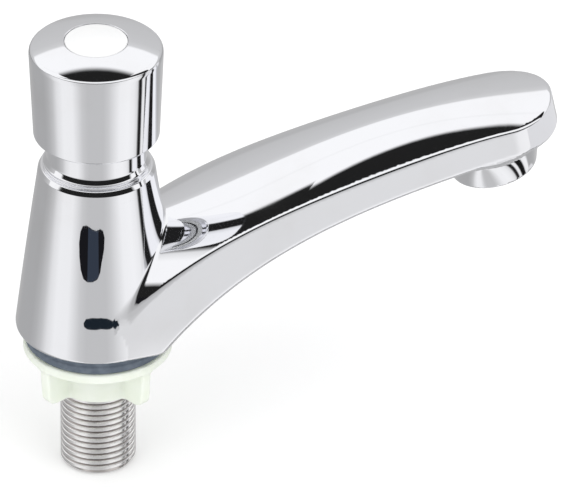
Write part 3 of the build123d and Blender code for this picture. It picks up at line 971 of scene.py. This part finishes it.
    def crown(self, x: np.ndarray, y: np.ndarray, z: np.ndarray) -> np.ndarray:
        """Roof whose section is a circular arc from ridge to ridge through the crest."""
        ridge = self.height("ridge", x, 0.0)
        crest = self.height("crest", x, self.crest_start)
        root = self.root_radius()
        half = root + (self.nose_radius - root) * np.clip(x / self.nose_place(ridge), 0, 1)
        rise = np.maximum(crest - ridge, self.least_rise)
        radius = (half**2 + rise**2) / (2 * rise)
        side = np.minimum(np.abs(y), radius * self.arc_share)
        drop = np.sqrt(radius**2 - side**2)
        top = crest - radius + drop
        climb = self.climb("crest", x, self.crest_start)
        return (z - top) / np.sqrt(1 + climb**2 + (side / drop) ** 2)

    def underside(self, x: np.ndarray, z: np.ndarray) -> np.ndarray:
        """Curved lower face of the spout."""
        start = self.under_start
        climb = self.climb("under", x, start)
        return (self.height("under", x, start) - z) / np.sqrt(1 + climb**2)

    def outlet_frame(
        self, x: np.ndarray, y: np.ndarray, z: np.ndarray
    ) -> tuple[np.ndarray, np.ndarray]:
        """Radius from the outlet's axis and height above its mouth."""
        dx, dz = x - self.outlet[0], z - self.outlet[1]
        across = dx * math.cos(self.tilt) + dz * math.sin(self.tilt)
        return np.hypot(across, y), dz * math.cos(self.tilt) - dx * math.sin(self.tilt)

    def boss(self, rho: np.ndarray, up: np.ndarray) -> np.ndarray:
        """Flared boss with a rounded lip."""
        share = np.clip(up / self.boss_height, 0, 1.1)
        waist = self.boss_waist * share * (1 - share)
        side = self.boss_radius + self.boss_flare * share - waist
        wall = (rho - side) * self.boss_slant
        return round_cut(np.maximum(wall, up - self.boss_height), -up, self.lip_edge)

    def field(self, x: np.ndarray, y: np.ndarray, z: np.ndarray) -> np.ndarray:
        """Tower, spout and boss joined with fillets, less the sockets bored in them."""
        rho = np.hypot(x, y)
        tower = self.tower(rho, z)
        ahead = np.maximum(x, 0.0)
        grown = np.clip(ahead / self.sharp_run, 0.0, 1.0)
        crease = self.fine_edge + (self.crease - self.fine_edge) * grown
        ridge = self.fine_edge + (self.ridge_edge - self.fine_edge) * grown
        roofed = round_join(tower, self.crown(x, y, z), crease)
        spout = round_cut(roofed, self.walls(x, y, z), ridge)
        spout = round_cut(spout, self.underside(x, z), self.lower_edge)
        spout = round_cut(spout, self.floor - z, self.foot_edge)
        beyond = np.minimum(tower, self.root_depth) - ahead**2 / (ahead + self.root_run)
        spout = np.maximum(spout, beyond)
        far, up = self.outlet_frame(x, y, z)
        solid = np.minimum(tower, round_join(spout, self.boss(far, up), self.join))
        for radius, low, high in self.chambers:
            solid = np.maximum(solid, -np.maximum(rho - radius, np.maximum(low - z, z - high)))
        solid = np.maximum(solid, -np.maximum(far - self.outlet_bore, up - self.outlet_depth))
        off = np.abs(z - np.interp(x, *self.waterway)) - self.waterway_size[1]
        channel = round_cut(np.abs(y) - self.waterway_size[0], off, self.waterway_edge)
        channel = np.maximum(channel, np.maximum(-x, x - self.waterway[0][-1]))
        return np.maximum(solid, -channel)

    def build(self, shop: Shop) -> None:
        """Makes the casting, the outlet's insert and the gasket."""
        skin = self.surface().joined(self.shoulder_ring())
        shop.piece("tap_casting", skin, Slot.CHROME, Body.TAP, ["tap_body"])
        mouth = [(9.5, 0.3, 0.25), (10.4, 0.3, 0.25), (10.4, 5.3, 0.1), (9.5, 5.3, 0.1)]
        ring = turned(softened(mouth), 160)
        for rows in (ring.points, ring.normals):
            x, z = rows[:, 0].copy(), rows[:, 2].copy()
            rows[:, 0] = x * math.cos(self.tilt) - z * math.sin(self.tilt)
            rows[:, 2] = x * math.sin(self.tilt) + z * math.cos(self.tilt)
        ring.points += np.array([self.outlet[0], 0.0, self.outlet[1]])
        shop.piece("outlet_insert", ring, Slot.CHROME, Body.TAP, ["outlet_ring"])
        seal = [
            (10.8, 0, 0.3), (13.9, 0, 0.3), (14.1, 0.6, 0.2), (16.9, 0.6, 0.2), (17.1, 0, 0.3),
            (19.6, 0, 0.4), (20.2, 0.7, 0.4), (20.2, 2.4, 0.3), (19.9, 2.7, 0.2),
            (19.9, 3.1, 0.2), (20.2, 3.4, 0.3), (20.2, 6.0, 0.2), (10.8, 6.0, 0.2),
        ]
        gasket = turned(softened(seal, 4), 160)
        shop.piece("deck_gasket", gasket, Slot.GASKET, Body.TAP, ["base_gasket"])


@dataclass
class Bonnet:
    """Chrome neck that shows between the body and the cap, with its moulded flange."""

    foot: float = 57.0
    flange: float = 15.0
    neck: float = 13.95
    skirt: float = 13.05
    bore: float = 11.1
    seal_bore: float = 5.0
    stem_bore: float = 4.4
    low: float = 48.0
    ceiling: float = 70.0
    lip: float = 72.8
    top: float = 74.0
    bead: float = 0.55

    def build(self, shop: Shop) -> None:
        """Turns the neck with two small beads at its foot."""
        foot, flange, bore = self.foot, self.flange, self.bore
        seal, stem, groove = self.seal_bore, self.stem_bore, flange - self.bead
        outline = [
            (bore, self.low, 0.1), (self.skirt, self.low, 0.2), (self.skirt, foot, 0.05),
            (flange, foot, 0.15), (flange, foot + 0.6, 0.25), (groove, foot + 0.75, 0.1),
            (groove, foot + 0.95, 0.1), (flange - 0.15, foot + 1.05, 0.1),
            (flange - 0.15, foot + 1.25, 0.15), (flange - 0.35, foot + 1.5, 0.15),
            (self.neck, foot + 2.9, 0.3), (self.neck, self.top, 0.55), (stem, self.top, 0.15),
            (stem, self.lip, 0.05), (seal, self.lip, 0.05), (seal, self.ceiling, 0.1),
            (bore, self.ceiling, 0.3),
        ]
        neck = turned(softened(outline))
        shop.piece("chrome_neck", neck, Slot.CHROME, Body.TAP, ["bonnet_sleeve"])


@dataclass
class InletShank:
    """Threaded inlet shank with a cut helical thread and a chamfered end."""

    major: float = 10.4775
    minor: float = 9.3165
    pitch: float = 1.814
    low: float = -38.8
    top: float = 13.0
    run_out: float = -0.5
    crest_start: float = 0.04
    flank: float = 0.44
    bore: float = 7.0
    step: Span = (8.2, 7.0)
    chamfer: float = 1.2
    row_pitch: float = 0.125

    def cut(self, radius: np.ndarray, angle: np.ndarray, height: np.ndarray) -> np.ndarray:
        """Change of radius by the thread.

        The phase is height/pitch - angle/(2·pi). The groove is a triangle wave of the phase with
        its crests and roots rounded, and it fades out over one pitch below the run-out.
        """
        phase = height / self.pitch - angle / (2 * math.pi)
        wave = np.abs((phase % 1.0) * 2 - 1)
        share = np.clip((wave - self.crest_start) / self.flank, 0, 1)
        depth = (self.major - self.minor) * (1 - eased(share))
        fade = np.clip((self.run_out - height) / self.pitch, 0, 1)
        return -np.minimum(depth * fade, np.maximum(radius - self.minor, 0))

    def build(self, shop: Shop) -> None:
        """Turns the shank from a dense outline and cuts the thread into its outer rows."""
        major, low, bevel = self.major, self.low, self.chamfer
        step, step_height = self.step
        rows = np.arange(low + 1.25, -0.2, self.row_pitch)
        outer = np.stack([np.full(len(rows), major), rows], axis=-1)
        end = softened([
            (step, step_height, 0.05), (self.bore, step_height, 0.2), (self.bore, low, 0.35),
            (major - bevel, low, 0.2), (major, low + bevel, 0.05), (major, self.top, 0.05),
            (step, self.top, 0.1),
        ])
        split = int(np.argmax((end[:, 0] > major - 1e-3) & (end[:, 1] > 0)))
        outline = np.concatenate([end[:split], outer, end[split:]])
        shape = turned(outline, 180, self.cut)
        shop.piece("inlet_shank", shape, Slot.THREAD, Body.TAP, ["threaded_shank"])


# The backnut


@dataclass
class WingNut(CastForm):
    """Moulded backnut: a flange, a hub and four wings with rounded edges."""

    low: Place = (-21.4, -21.4, -14.6)
    high: Place = (21.4, 21.4, 0.6)
    pitch: float = 0.36
    flange_radius: float = 20.7
    flange_height: float = 2.7
    hub_radius: float = 12.2775
    depth: float = 14.0
    bore: float = 10.7775
    wing_half: float = 1.7
    wing_reach: float = 20.5
    wing_draft: float = 0.9
    wing_turn: float = math.radians(30.0)
    flange_edge: float = 0.6
    hub_edge: float = 0.5
    tip_edge: float = 3.0
    wing_edge: float = 0.7
    wing_top: float = 0.3
    wing_top_edge: float = 0.2
    fillet: float = 0.9
    chamfer: float = 0.5

    @staticmethod
    def disc(
        rho: np.ndarray, z: np.ndarray, radius: float, height: float
    ) -> tuple[np.ndarray, np.ndarray]:
        """Depths below a disc's rim and between its faces, from the deck down."""
        return rho - radius, np.abs(z + height / 2) - height / 2

    def field(self, x: np.ndarray, y: np.ndarray, z: np.ndarray) -> np.ndarray:
        """Rounded flange, hub and wings joined with small fillets, less the bore."""
        rho = np.hypot(x, y)
        flange = round_cut(
            *self.disc(rho, z, self.flange_radius, self.flange_height), self.flange_edge)
        hub = round_cut(*self.disc(rho, z, self.hub_radius, self.depth), self.hub_edge)
        c, s = math.cos(self.wing_turn), math.sin(self.wing_turn)
        u, v = np.abs(x * c + y * s), np.abs(y * c - x * s)
        along, across = np.maximum(u, v), np.minimum(u, v)
        tip = along - (self.wing_reach + self.wing_draft * z / self.depth)
        end = round_cut(tip, -self.depth - z, self.tip_edge)
        wing = round_cut(across - self.wing_half, end, self.wing_edge)
        wing = round_cut(wing, z + self.wing_top, self.wing_top_edge)
        solid = round_join(round_join(hub, flange, self.fillet), wing, self.fillet)
        mouth = rho - self.bore - np.clip(self.chamfer - self.depth - z, 0, self.chamfer)
        return np.maximum(np.maximum(solid, z), -mouth)

    def build(self, shop: Shop) -> None:
        """Makes the nut."""
        nut = self.surface()
        shop.piece("moulded_backnut", nut, Slot.NUT, Body.BACKNUT, ["wing_backnut"])


# The button


@dataclass
class PushButton:
    """Flared cap with a low dome, its white disc and the spring under it."""

    bottom: float = 66.8
    bottom_radius: float = 17.5
    rim: float = 93.6
    rim_radius: float = 18.7
    bevel: float = 0.6
    top: float = 97.4
    dome: float = 3.2
    wall: float = 1.9
    ceiling: float = 90.6
    screw_bore: float = 1.8
    screw_seat: Span = (3.6, 92.6)
    pocket_radius: float = 8.9
    dome_shares: Span = (0.53, 0.97)
    disc_radius: float = 8.75
    disc_floor: float = 95.9
    disc_rise: float = 0.65
    disc_crown: float = 0.85
    disc_edge: float = 0.3
    neck_top: float = 74.0
    wire: float = 1.1
    wire_sides: int = 14
    coil_gap: float = 0.65
    coil_radius: float = 8.0
    coil_turns: float = 5.0
    coil_rows: int = 420
    flat_share: float = 0.12
    flat_climb: float = 0.14
    press: float = 6.5

    def cap(self) -> np.ndarray:
        """Outline of the cap; the dome falls with the square of the radius."""
        edge = self.rim_radius - self.bevel
        share = np.linspace(*self.dome_shares, 24)
        dome = [(float(s * edge), float(self.top - self.dome * s**2), 0.0) for s in share]
        rim_height = self.top - self.dome
        bore, pocket, low = self.screw_bore, self.pocket_radius, self.bottom_radius
        seat, seat_height = self.screw_seat
        start = self.top - self.dome * (pocket / edge) ** 2
        corners = [
            (bore, self.ceiling, 0.1), (bore, seat_height, 0.1), (seat, seat_height, 0.1),
            (seat, self.disc_floor, 0.1), (pocket, self.disc_floor, 0.05), (pocket, start, 0.35),
            *dome, (edge + 0.2, rim_height, 0.8), (self.rim_radius, self.rim - 0.5, 0.7),
            (low + 0.018, self.bottom + 0.4, 0.3), (low - 0.4, self.bottom, 0.2),
            (low - self.wall, self.bottom, 0.3), (low - self.wall, self.ceiling, 0.6),
        ]
        return softened(corners)

    def disc(self) -> np.ndarray:
        """Outline of the white disc: a low crown with a rounded edge."""
        radius, low, soft = self.disc_radius, self.disc_floor, self.disc_edge
        high = low + self.disc_rise
        inner = radius - soft
        turn = np.linspace(0, math.pi / 2, 8)
        edge = np.stack([inner + soft * np.cos(turn), high - soft + soft * np.sin(turn)], axis=-1)
        share = 1 - np.linspace(0, 1, 16)[1:-1]
        roof = np.stack([inner * share, high + self.disc_crown * (1 - share**2)], axis=-1)
        side = [[0, low], [radius * 0.6, low], [radius, low]]
        return np.concatenate([side, edge, roof, [[0, high + self.disc_crown]]])

    def spring(self) -> Surface:
        """Coil: a circle of the wire carried along a helix whose end turns lie flat."""
        low, high = self.neck_top + self.coil_gap, self.ceiling - self.coil_gap
        rows, sides = self.coil_rows, self.wire_sides
        t = np.linspace(0, 1, rows)
        angle = t * self.coil_turns * 2 * math.pi
        middle = np.clip((t - self.flat_share) / (1 - 2 * self.flat_share), 0, 1)
        rise = low + (high - low) * (middle * (1 - self.flat_climb) + t * self.flat_climb)
        out = np.stack([np.cos(angle), np.sin(angle), np.zeros(rows)], axis=-1)
        centre = out * self.coil_radius
        centre[:, 2] = rise
        way = unit(np.gradient(centre, axis=0))
        up = np.cross(way, out)
        turn = circle(sides)[None, :, None]
        normal = out[:, None] * np.cos(turn) + up[:, None] * np.sin(turn)
        points = (centre[:, None] + normal * self.wire / 2).reshape(-1, 3)
        points = np.concatenate([points, centre[:1], centre[-1:]])
        normals = np.concatenate([normal.reshape(-1, 3), -way[:1], way[-1:]])
        faces = [grid_faces(rows, sides)[:, [0, 3, 2, 1]], end_faces(rows, sides)[:, [1, 0, 2]]]
        return Surface(points, faces, normals)

    def build(self, shop: Shop) -> None:
        """Makes the cap, the disc and the spring."""
        cap, disc = turned(self.cap(), 256), capped(self.disc(), 160)
        shop.piece("chrome_cap", cap, Slot.CHROME, Body.BUTTON, ["push_cap"])
        shop.piece("white_disc", disc, Slot.DISC, Body.BUTTON, ["index_disc"])
        coil = shop.piece("coil_spring", self.spring(), Slot.SPRING, Body.TAP, ["return_spring"])
        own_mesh(coil)


@dataclass
class InnerWorks:
    """Pieces kept as built: each gets the finish of its slot."""

    finishes: dict[Slot, tuple[str, ...]] = field(default_factory=lambda: {
        Slot.FIBRE: ("shank_washer",),
        Slot.HOUSING: (
            "cartridge_housing", "spindle_guide", "flow_straightener", "piston", "guide_ring"),
        Slot.SEAL: (
            "nose_o_ring", "flange_seal", "wiper_seal", "lower_o_ring", "outlet_washer",
            "piston_cup", "valve_washer"),
        Slot.BRASS: ("spindle", "valve_disc", "valve_nut"),
        Slot.SPRING: (
            "inlet_strainer", "metering_pin", "piston_circlip", "cap_screw", "screw_washer"),
    })

    def build(self, shop: Shop, nodes: dict[str, Any]) -> None:
        """Dresses the carried-over nodes."""
        for slot, names in self.finishes.items():
            for name in names:
                shop.palette.dress(nodes[name], slot)
                log.info("%s dressed as %s", name, slot.value)


# Studio


@dataclass
class Studio:
    """White set, soft light and rings of bright and dark panels for the chrome to show."""

    front: Colour = (-0.2250, -0.9744, 0.0)
    right: Colour = (0.9744, -0.2250, 0.0)
    floor_height: float = -38.8
    # Bearing from the front in degrees, positive to the right, and the brightness seen there
    low_ring: tuple[Span, ...] = (
        (-180, 0.50), (-140, 0.42), (-106, 0.42), (-95, 0.47), (-84, 0.58), (-74, 0.80),
        (-62, 0.92), (-43, 0.91), (-34, 0.77), (-25, 0.62), (-15, 0.56), (13, 0.56), (22, 0.63),
        (33, 0.79), (43, 0.93), (60, 0.96), (72, 0.90), (79, 0.74), (82, 0.02), (88, 0.01),
        (90, 0.85), (95, 0.92), (97, 0.01), (107, 0.01), (110, 0.9), (119, 0.95), (123, 0.40),
        (140, 0.44), (160, 0.56), (180, 0.50))
    # Climb in degrees from the far horizon, over the top, to the near one, and the brightness
    high_ring: tuple[Span, ...] = (
        (-90, 0.40), (-30, 0.50), (8, 0.56), (30, 0.61), (35.5, 0.68), (37.5, 1.02), (58, 1.02),
        (62, 0.7), (67, 0.015), (99, 0.015), (103, 0.8), (112, 1.0), (138, 1.0), (144, 0.015),
        (163, 0.015), (168, 0.45), (180, 0.5))
    # The high ring takes over from the low one between these heights of the direction
    horizon: Span = (-0.06, 0.10)
    # Bright veil over the high ring: where it sets in, where it ends, and how its end slants
    veil_start: Span = (57, 61)
    veil_end: Span = (68, 73)
    veil_slant: float = 45.0
    bright: Colour = (1.02, 1.02, 1.02)
    # Dark cards that the tower mirrors: name, colour, and places right of the axis and heights
    card_ahead: float = 48.0
    card_step: float = 0.1
    cards: tuple[tuple[str, Colour, tuple[Span, ...]], ...] = (
        ("tall_card", (0.010, 0.010, 0.012), (
            (-21.8, 31), (-20.6, 34.6), (-17.5, 36.8), (-12.7, 37.7), (-8.5, 37.6), (-4.4, 37.1),
            (0, 36.9), (4.1, 37.3), (7.6, 36.6), (9.3, 34.4), (8.3, 31), (5.4, 27.3), (3.6, 24.3),
            (0.5, 22.3), (-4.5, 21.4), (-10, 21), (-14.5, 21.4), (-18.2, 23.6), (-20.6, 27))),
        ("pale_card", (0.035, 0.045, 0.065), (
            (-10, 37.4), (-4.4, 36.9), (2, 36.9), (2, 23.1), (-4.5, 21.6), (-10, 21.2))),
        ("low_card", (0.012, 0.018, 0.025), (
            (-13, 8.4), (-10.5, 10), (-4.5, 10.8), (3.6, 10.8), (9, 10.3), (12.6, 9.5), (16, 8.6),
            (16, 6.8), (12, 6.7), (3.3, 7.5), (-4, 7.2), (-9.5, 7), (-12.4, 7.4))))
    shade_height: float = 150.0
    shade_half: float = 29.0
    shade_reach: Span = (-24.0, 30.0)
    shade_fade: Span = (-0.021, -0.013)
    # Pale card past the nose: its reach, its span across and its span of heights
    nose_card: tuple[float, Span, Span] = (172.0, (-60.0, 60.0), (0.0, 62.0))
    nose_tone: Colour = (0.78, 0.78, 0.79)
    floor_half: float = 6000.0
    floor_gap: float = 0.2
    floor_glow: float = 0.12
    # Name, place in metres and power of each lamp
    lamps: tuple[tuple[str, Place, float], ...] = (
        ("key_softbox", (0.5, -0.9, 1.2), 6.0), ("fill_softbox", (-0.9, -0.6, 0.8), 2.5))
    lamp_size: float = 1.2
    lamp_aim: Place = (0.05, 0.0, 0.04)

    @staticmethod
    def on_climb(degrees: float) -> float:
        """Place of a climb on the high ring's ramp, which spans 270 degrees from -90."""
        return (degrees + 90) / 270

    def world(self) -> None:
        """Even light for matt pieces; chrome sees the panels.

        The bearing is atan2(d·right, d·front) and the climb runs from the far side (below 90)
        over the top to the near side (above 90). Below the horizon the low ring is seen.
        """
        world = bpy.data.worlds.new("studio")
        bpy.context.scene.world = world
        nodes = Nodes(world)
        way = nodes.out(nodes.add("ShaderNodeTexCoord", {}, {}), "Generated")
        axes = (self.front, self.right, (0.0, 0.0, 1.0))
        ahead, side, up = (nodes.dot(way, axis) for axis in axes)
        bearing = side.math("ARCTAN2", ahead) / math.pi * 0.5 + 0.5
        low = nodes.ramp(bearing, [((place + 180) / 360, tone) for place, tone in self.low_ring])
        climb = up.math("ARCTAN2", ahead * -1.0) / math.pi * (180 / 270) + self.on_climb(0.0)
        high = nodes.ramp(climb, [(self.on_climb(place), tone) for place, tone in self.high_ring])
        slanted = climb + side.lower(0.0) * (self.veil_slant / 270)
        end = slanted.step(*map(self.on_climb, self.veil_end))
        veil = climb.step(*map(self.on_climb, self.veil_start)) * (1.0 - end)
        seen = nodes.blend(up.step(*self.horizon), low, nodes.blend(veil, high, self.bright))
        path = nodes.add("ShaderNodeLightPath", {}, {})
        shiny = nodes.out(path, "Is Glossy Ray").higher(nodes.out(path, "Is Transmission Ray"))
        plain = nodes.blend(up.step(-0.3, 0.9), (0.78, 0.78, 0.78), (0.92, 0.92, 0.92))
        light = nodes.blend(shiny, plain, seen)
        light = nodes.blend(nodes.out(path, "Is Camera Ray"), light, (1.0, 1.0, 1.0))
        sky = nodes.add("ShaderNodeBackground", {}, {"Color": light, "Strength": 1.0})
        nodes.add("ShaderNodeOutputWorld", {}, {"Surface": nodes.out(sky, 0)})

    @staticmethod
    def flat(name: str, corners: np.ndarray, paint: Callable[[Nodes], Any]) -> Any:
        """Flat piece of the set.

        Args:
            name: its name.
            corners: its corners in millimetres.
            paint: makes the shader node of its material.

        Returns:
            The object.
        """
        material = bpy.data.materials.new(name)
        nodes = Nodes(material)
        nodes.finish(paint(nodes))
        mesh = bpy.data.meshes.new(name)
        mesh.from_pydata((corners * MM).tolist(), [], [tuple(range(len(corners)))])
        mesh.materials.append(material)
        made = linked(name, mesh)
        return made

    def floor(self) -> None:
        """Pale floor under the shank's end that keeps a soft shadow."""
        def paint(nodes: Nodes) -> Any:
            """Matt white with a faint glow."""
            tone = nodes.noise(nodes.position(), 6.0, 2.0)
            shade = nodes.blend(tone, (0.93, 0.93, 0.935), (0.95, 0.95, 0.95))
            matt = nodes.add("ShaderNodeBsdfDiffuse", {}, {"Color": shade})
            inputs = {"Color": (1.0, 1.0, 1.0, 1.0), "Strength": self.floor_glow}
            glow = nodes.add("ShaderNodeEmission", {}, inputs)
            both = {0: nodes.out(matt, 0), 1: nodes.out(glow, 0)}
            return nodes.add("ShaderNodeAddShader", {}, both)

        size, z = self.floor_half, self.floor_height - self.floor_gap
        corners = [(-size, -size, z), (size, -size, z), (size, size, z), (-size, size, z)]
        self.flat("floor", np.array(corners), paint).visible_glossy = False

    def card(self, name: str, corners: np.ndarray, colour: Callable[[Nodes], Any]) -> None:
        """Flat card in millimetres that only glossy rays see."""
        card = self.flat(name, corners, lambda nodes: nodes.add(
            "ShaderNodeEmission", {}, {"Color": colour(nodes), "Strength": 1.0}))
        card.visible_camera = card.visible_diffuse = False
        card.visible_transmission = card.visible_shadow = False

    def facing(self, ahead: float, side: float, height: float) -> np.ndarray:
        """Place at a distance towards the front, to the right and up."""
        return np.array(self.front) * ahead + np.array(self.right) * side + (0.0, 0.0, height)

    def hang_cards(self) -> None:
        """Places the cards before the tower, the shade above the button and the nose's card."""
        for step, (name, colour, outline) in enumerate(self.cards):
            ahead = self.card_ahead - self.card_step * step
            corners = np.array([self.facing(ahead, side, height) for side, height in outline])
            self.card(name, corners, lambda nodes, colour=colour: (*colour, 1.0))

        def fade(nodes: Nodes) -> Value:
            """White at the far edge, dark from a little way in."""
            ahead = nodes.dot(nodes.position(), self.front)
            return nodes.blend(ahead.step(*self.shade_fade), self.bright, (0.015, 0.015, 0.015))

        far, near = self.shade_reach
        half = self.shade_half
        corners = np.array([
            self.facing(ahead, side, self.shade_height)
            for ahead, side in ((far, -half), (near, -half), (near, half), (far, half))])
        self.card("button_shade", corners, fade)
        reach, (near, far), (low, high) = self.nose_card
        corners = np.array([
            (reach, near, low), (reach, far, low), (reach, far, high), (reach, near, high)])
        self.card("nose_card", corners, lambda nodes: (*self.nose_tone, 1.0))

    def lamp(self, name: str, place: Place, power: float) -> None:
        """Soft square lamp that only matt surfaces see, aimed at the tap."""
        data = bpy.data.lights.new(name, "AREA")
        data.size, data.energy = self.lamp_size, power
        lamp = linked(name, data)
        lamp.location = place
        back = unit(np.array(place) - np.array(self.lamp_aim))
        lamp.rotation_euler = (math.acos(back[2]), 0.0, math.atan2(back[0], -back[1]))
        lamp.visible_glossy = False

    def build(self) -> None:
        """Lights the set."""
        self.world()
        self.floor()
        self.hang_cards()
        for lamp in self.lamps:
            self.lamp(*lamp)


@dataclass
class PhotoCamera:
    """Long lens at the photograph's angle: 13 degrees to the left and 32 degrees up."""

    azimuth: float = math.radians(-13.0)
    elevation: float = math.radians(32.0)
    distance: float = 6.0
    # Pixels per metre of the picture, its width in pixels and the sensor's in millimetres
    scale: float = 3600.0
    picture: float = 574.0
    sensor: float = 36.0
    clip: Span = (0.1, 40.0)
    aim_right: float = 0.0526
    aim_up: float = 0.0258

    def build(self) -> None:
        """Sets the camera on the line through the picture's centre."""
        a, e = self.azimuth, self.elevation
        back = np.array([math.sin(a) * math.cos(e), -math.cos(a) * math.cos(e), math.sin(e)])
        right = np.array([math.cos(a), math.sin(a), 0.0])
        up = np.cross(back, right)
        data = bpy.data.cameras.new("photo_camera")
        data.lens = self.scale * self.distance * self.sensor / self.picture
        data.sensor_width = self.sensor
        data.clip_start, data.clip_end = self.clip
        camera = linked("photo_camera", data)
        camera.location = right * self.aim_right + up * self.aim_up + back * self.distance
        camera.rotation_euler = (math.pi / 2 - e, 0.0, a)
        bpy.context.scene.camera = camera


def main() -> None:
    """Builds and dresses every piece, then lights the set."""
    logging.basicConfig(level=logging.INFO, format="%(name)s: %(message)s")
    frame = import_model()
    PhotoCamera().build()
    shop = Shop(Palette())
    InnerWorks().build(shop, frame["nodes"])
    TapCasting().build(shop)
    Bonnet().build(shop)
    InletShank().build(shop)
    WingNut().build(shop)
    PushButton().build(shop)
    Studio().build()
    scene = bpy.context.scene
    scene.view_settings.view_transform = "Standard"


if __name__ == "__main__":
    main()
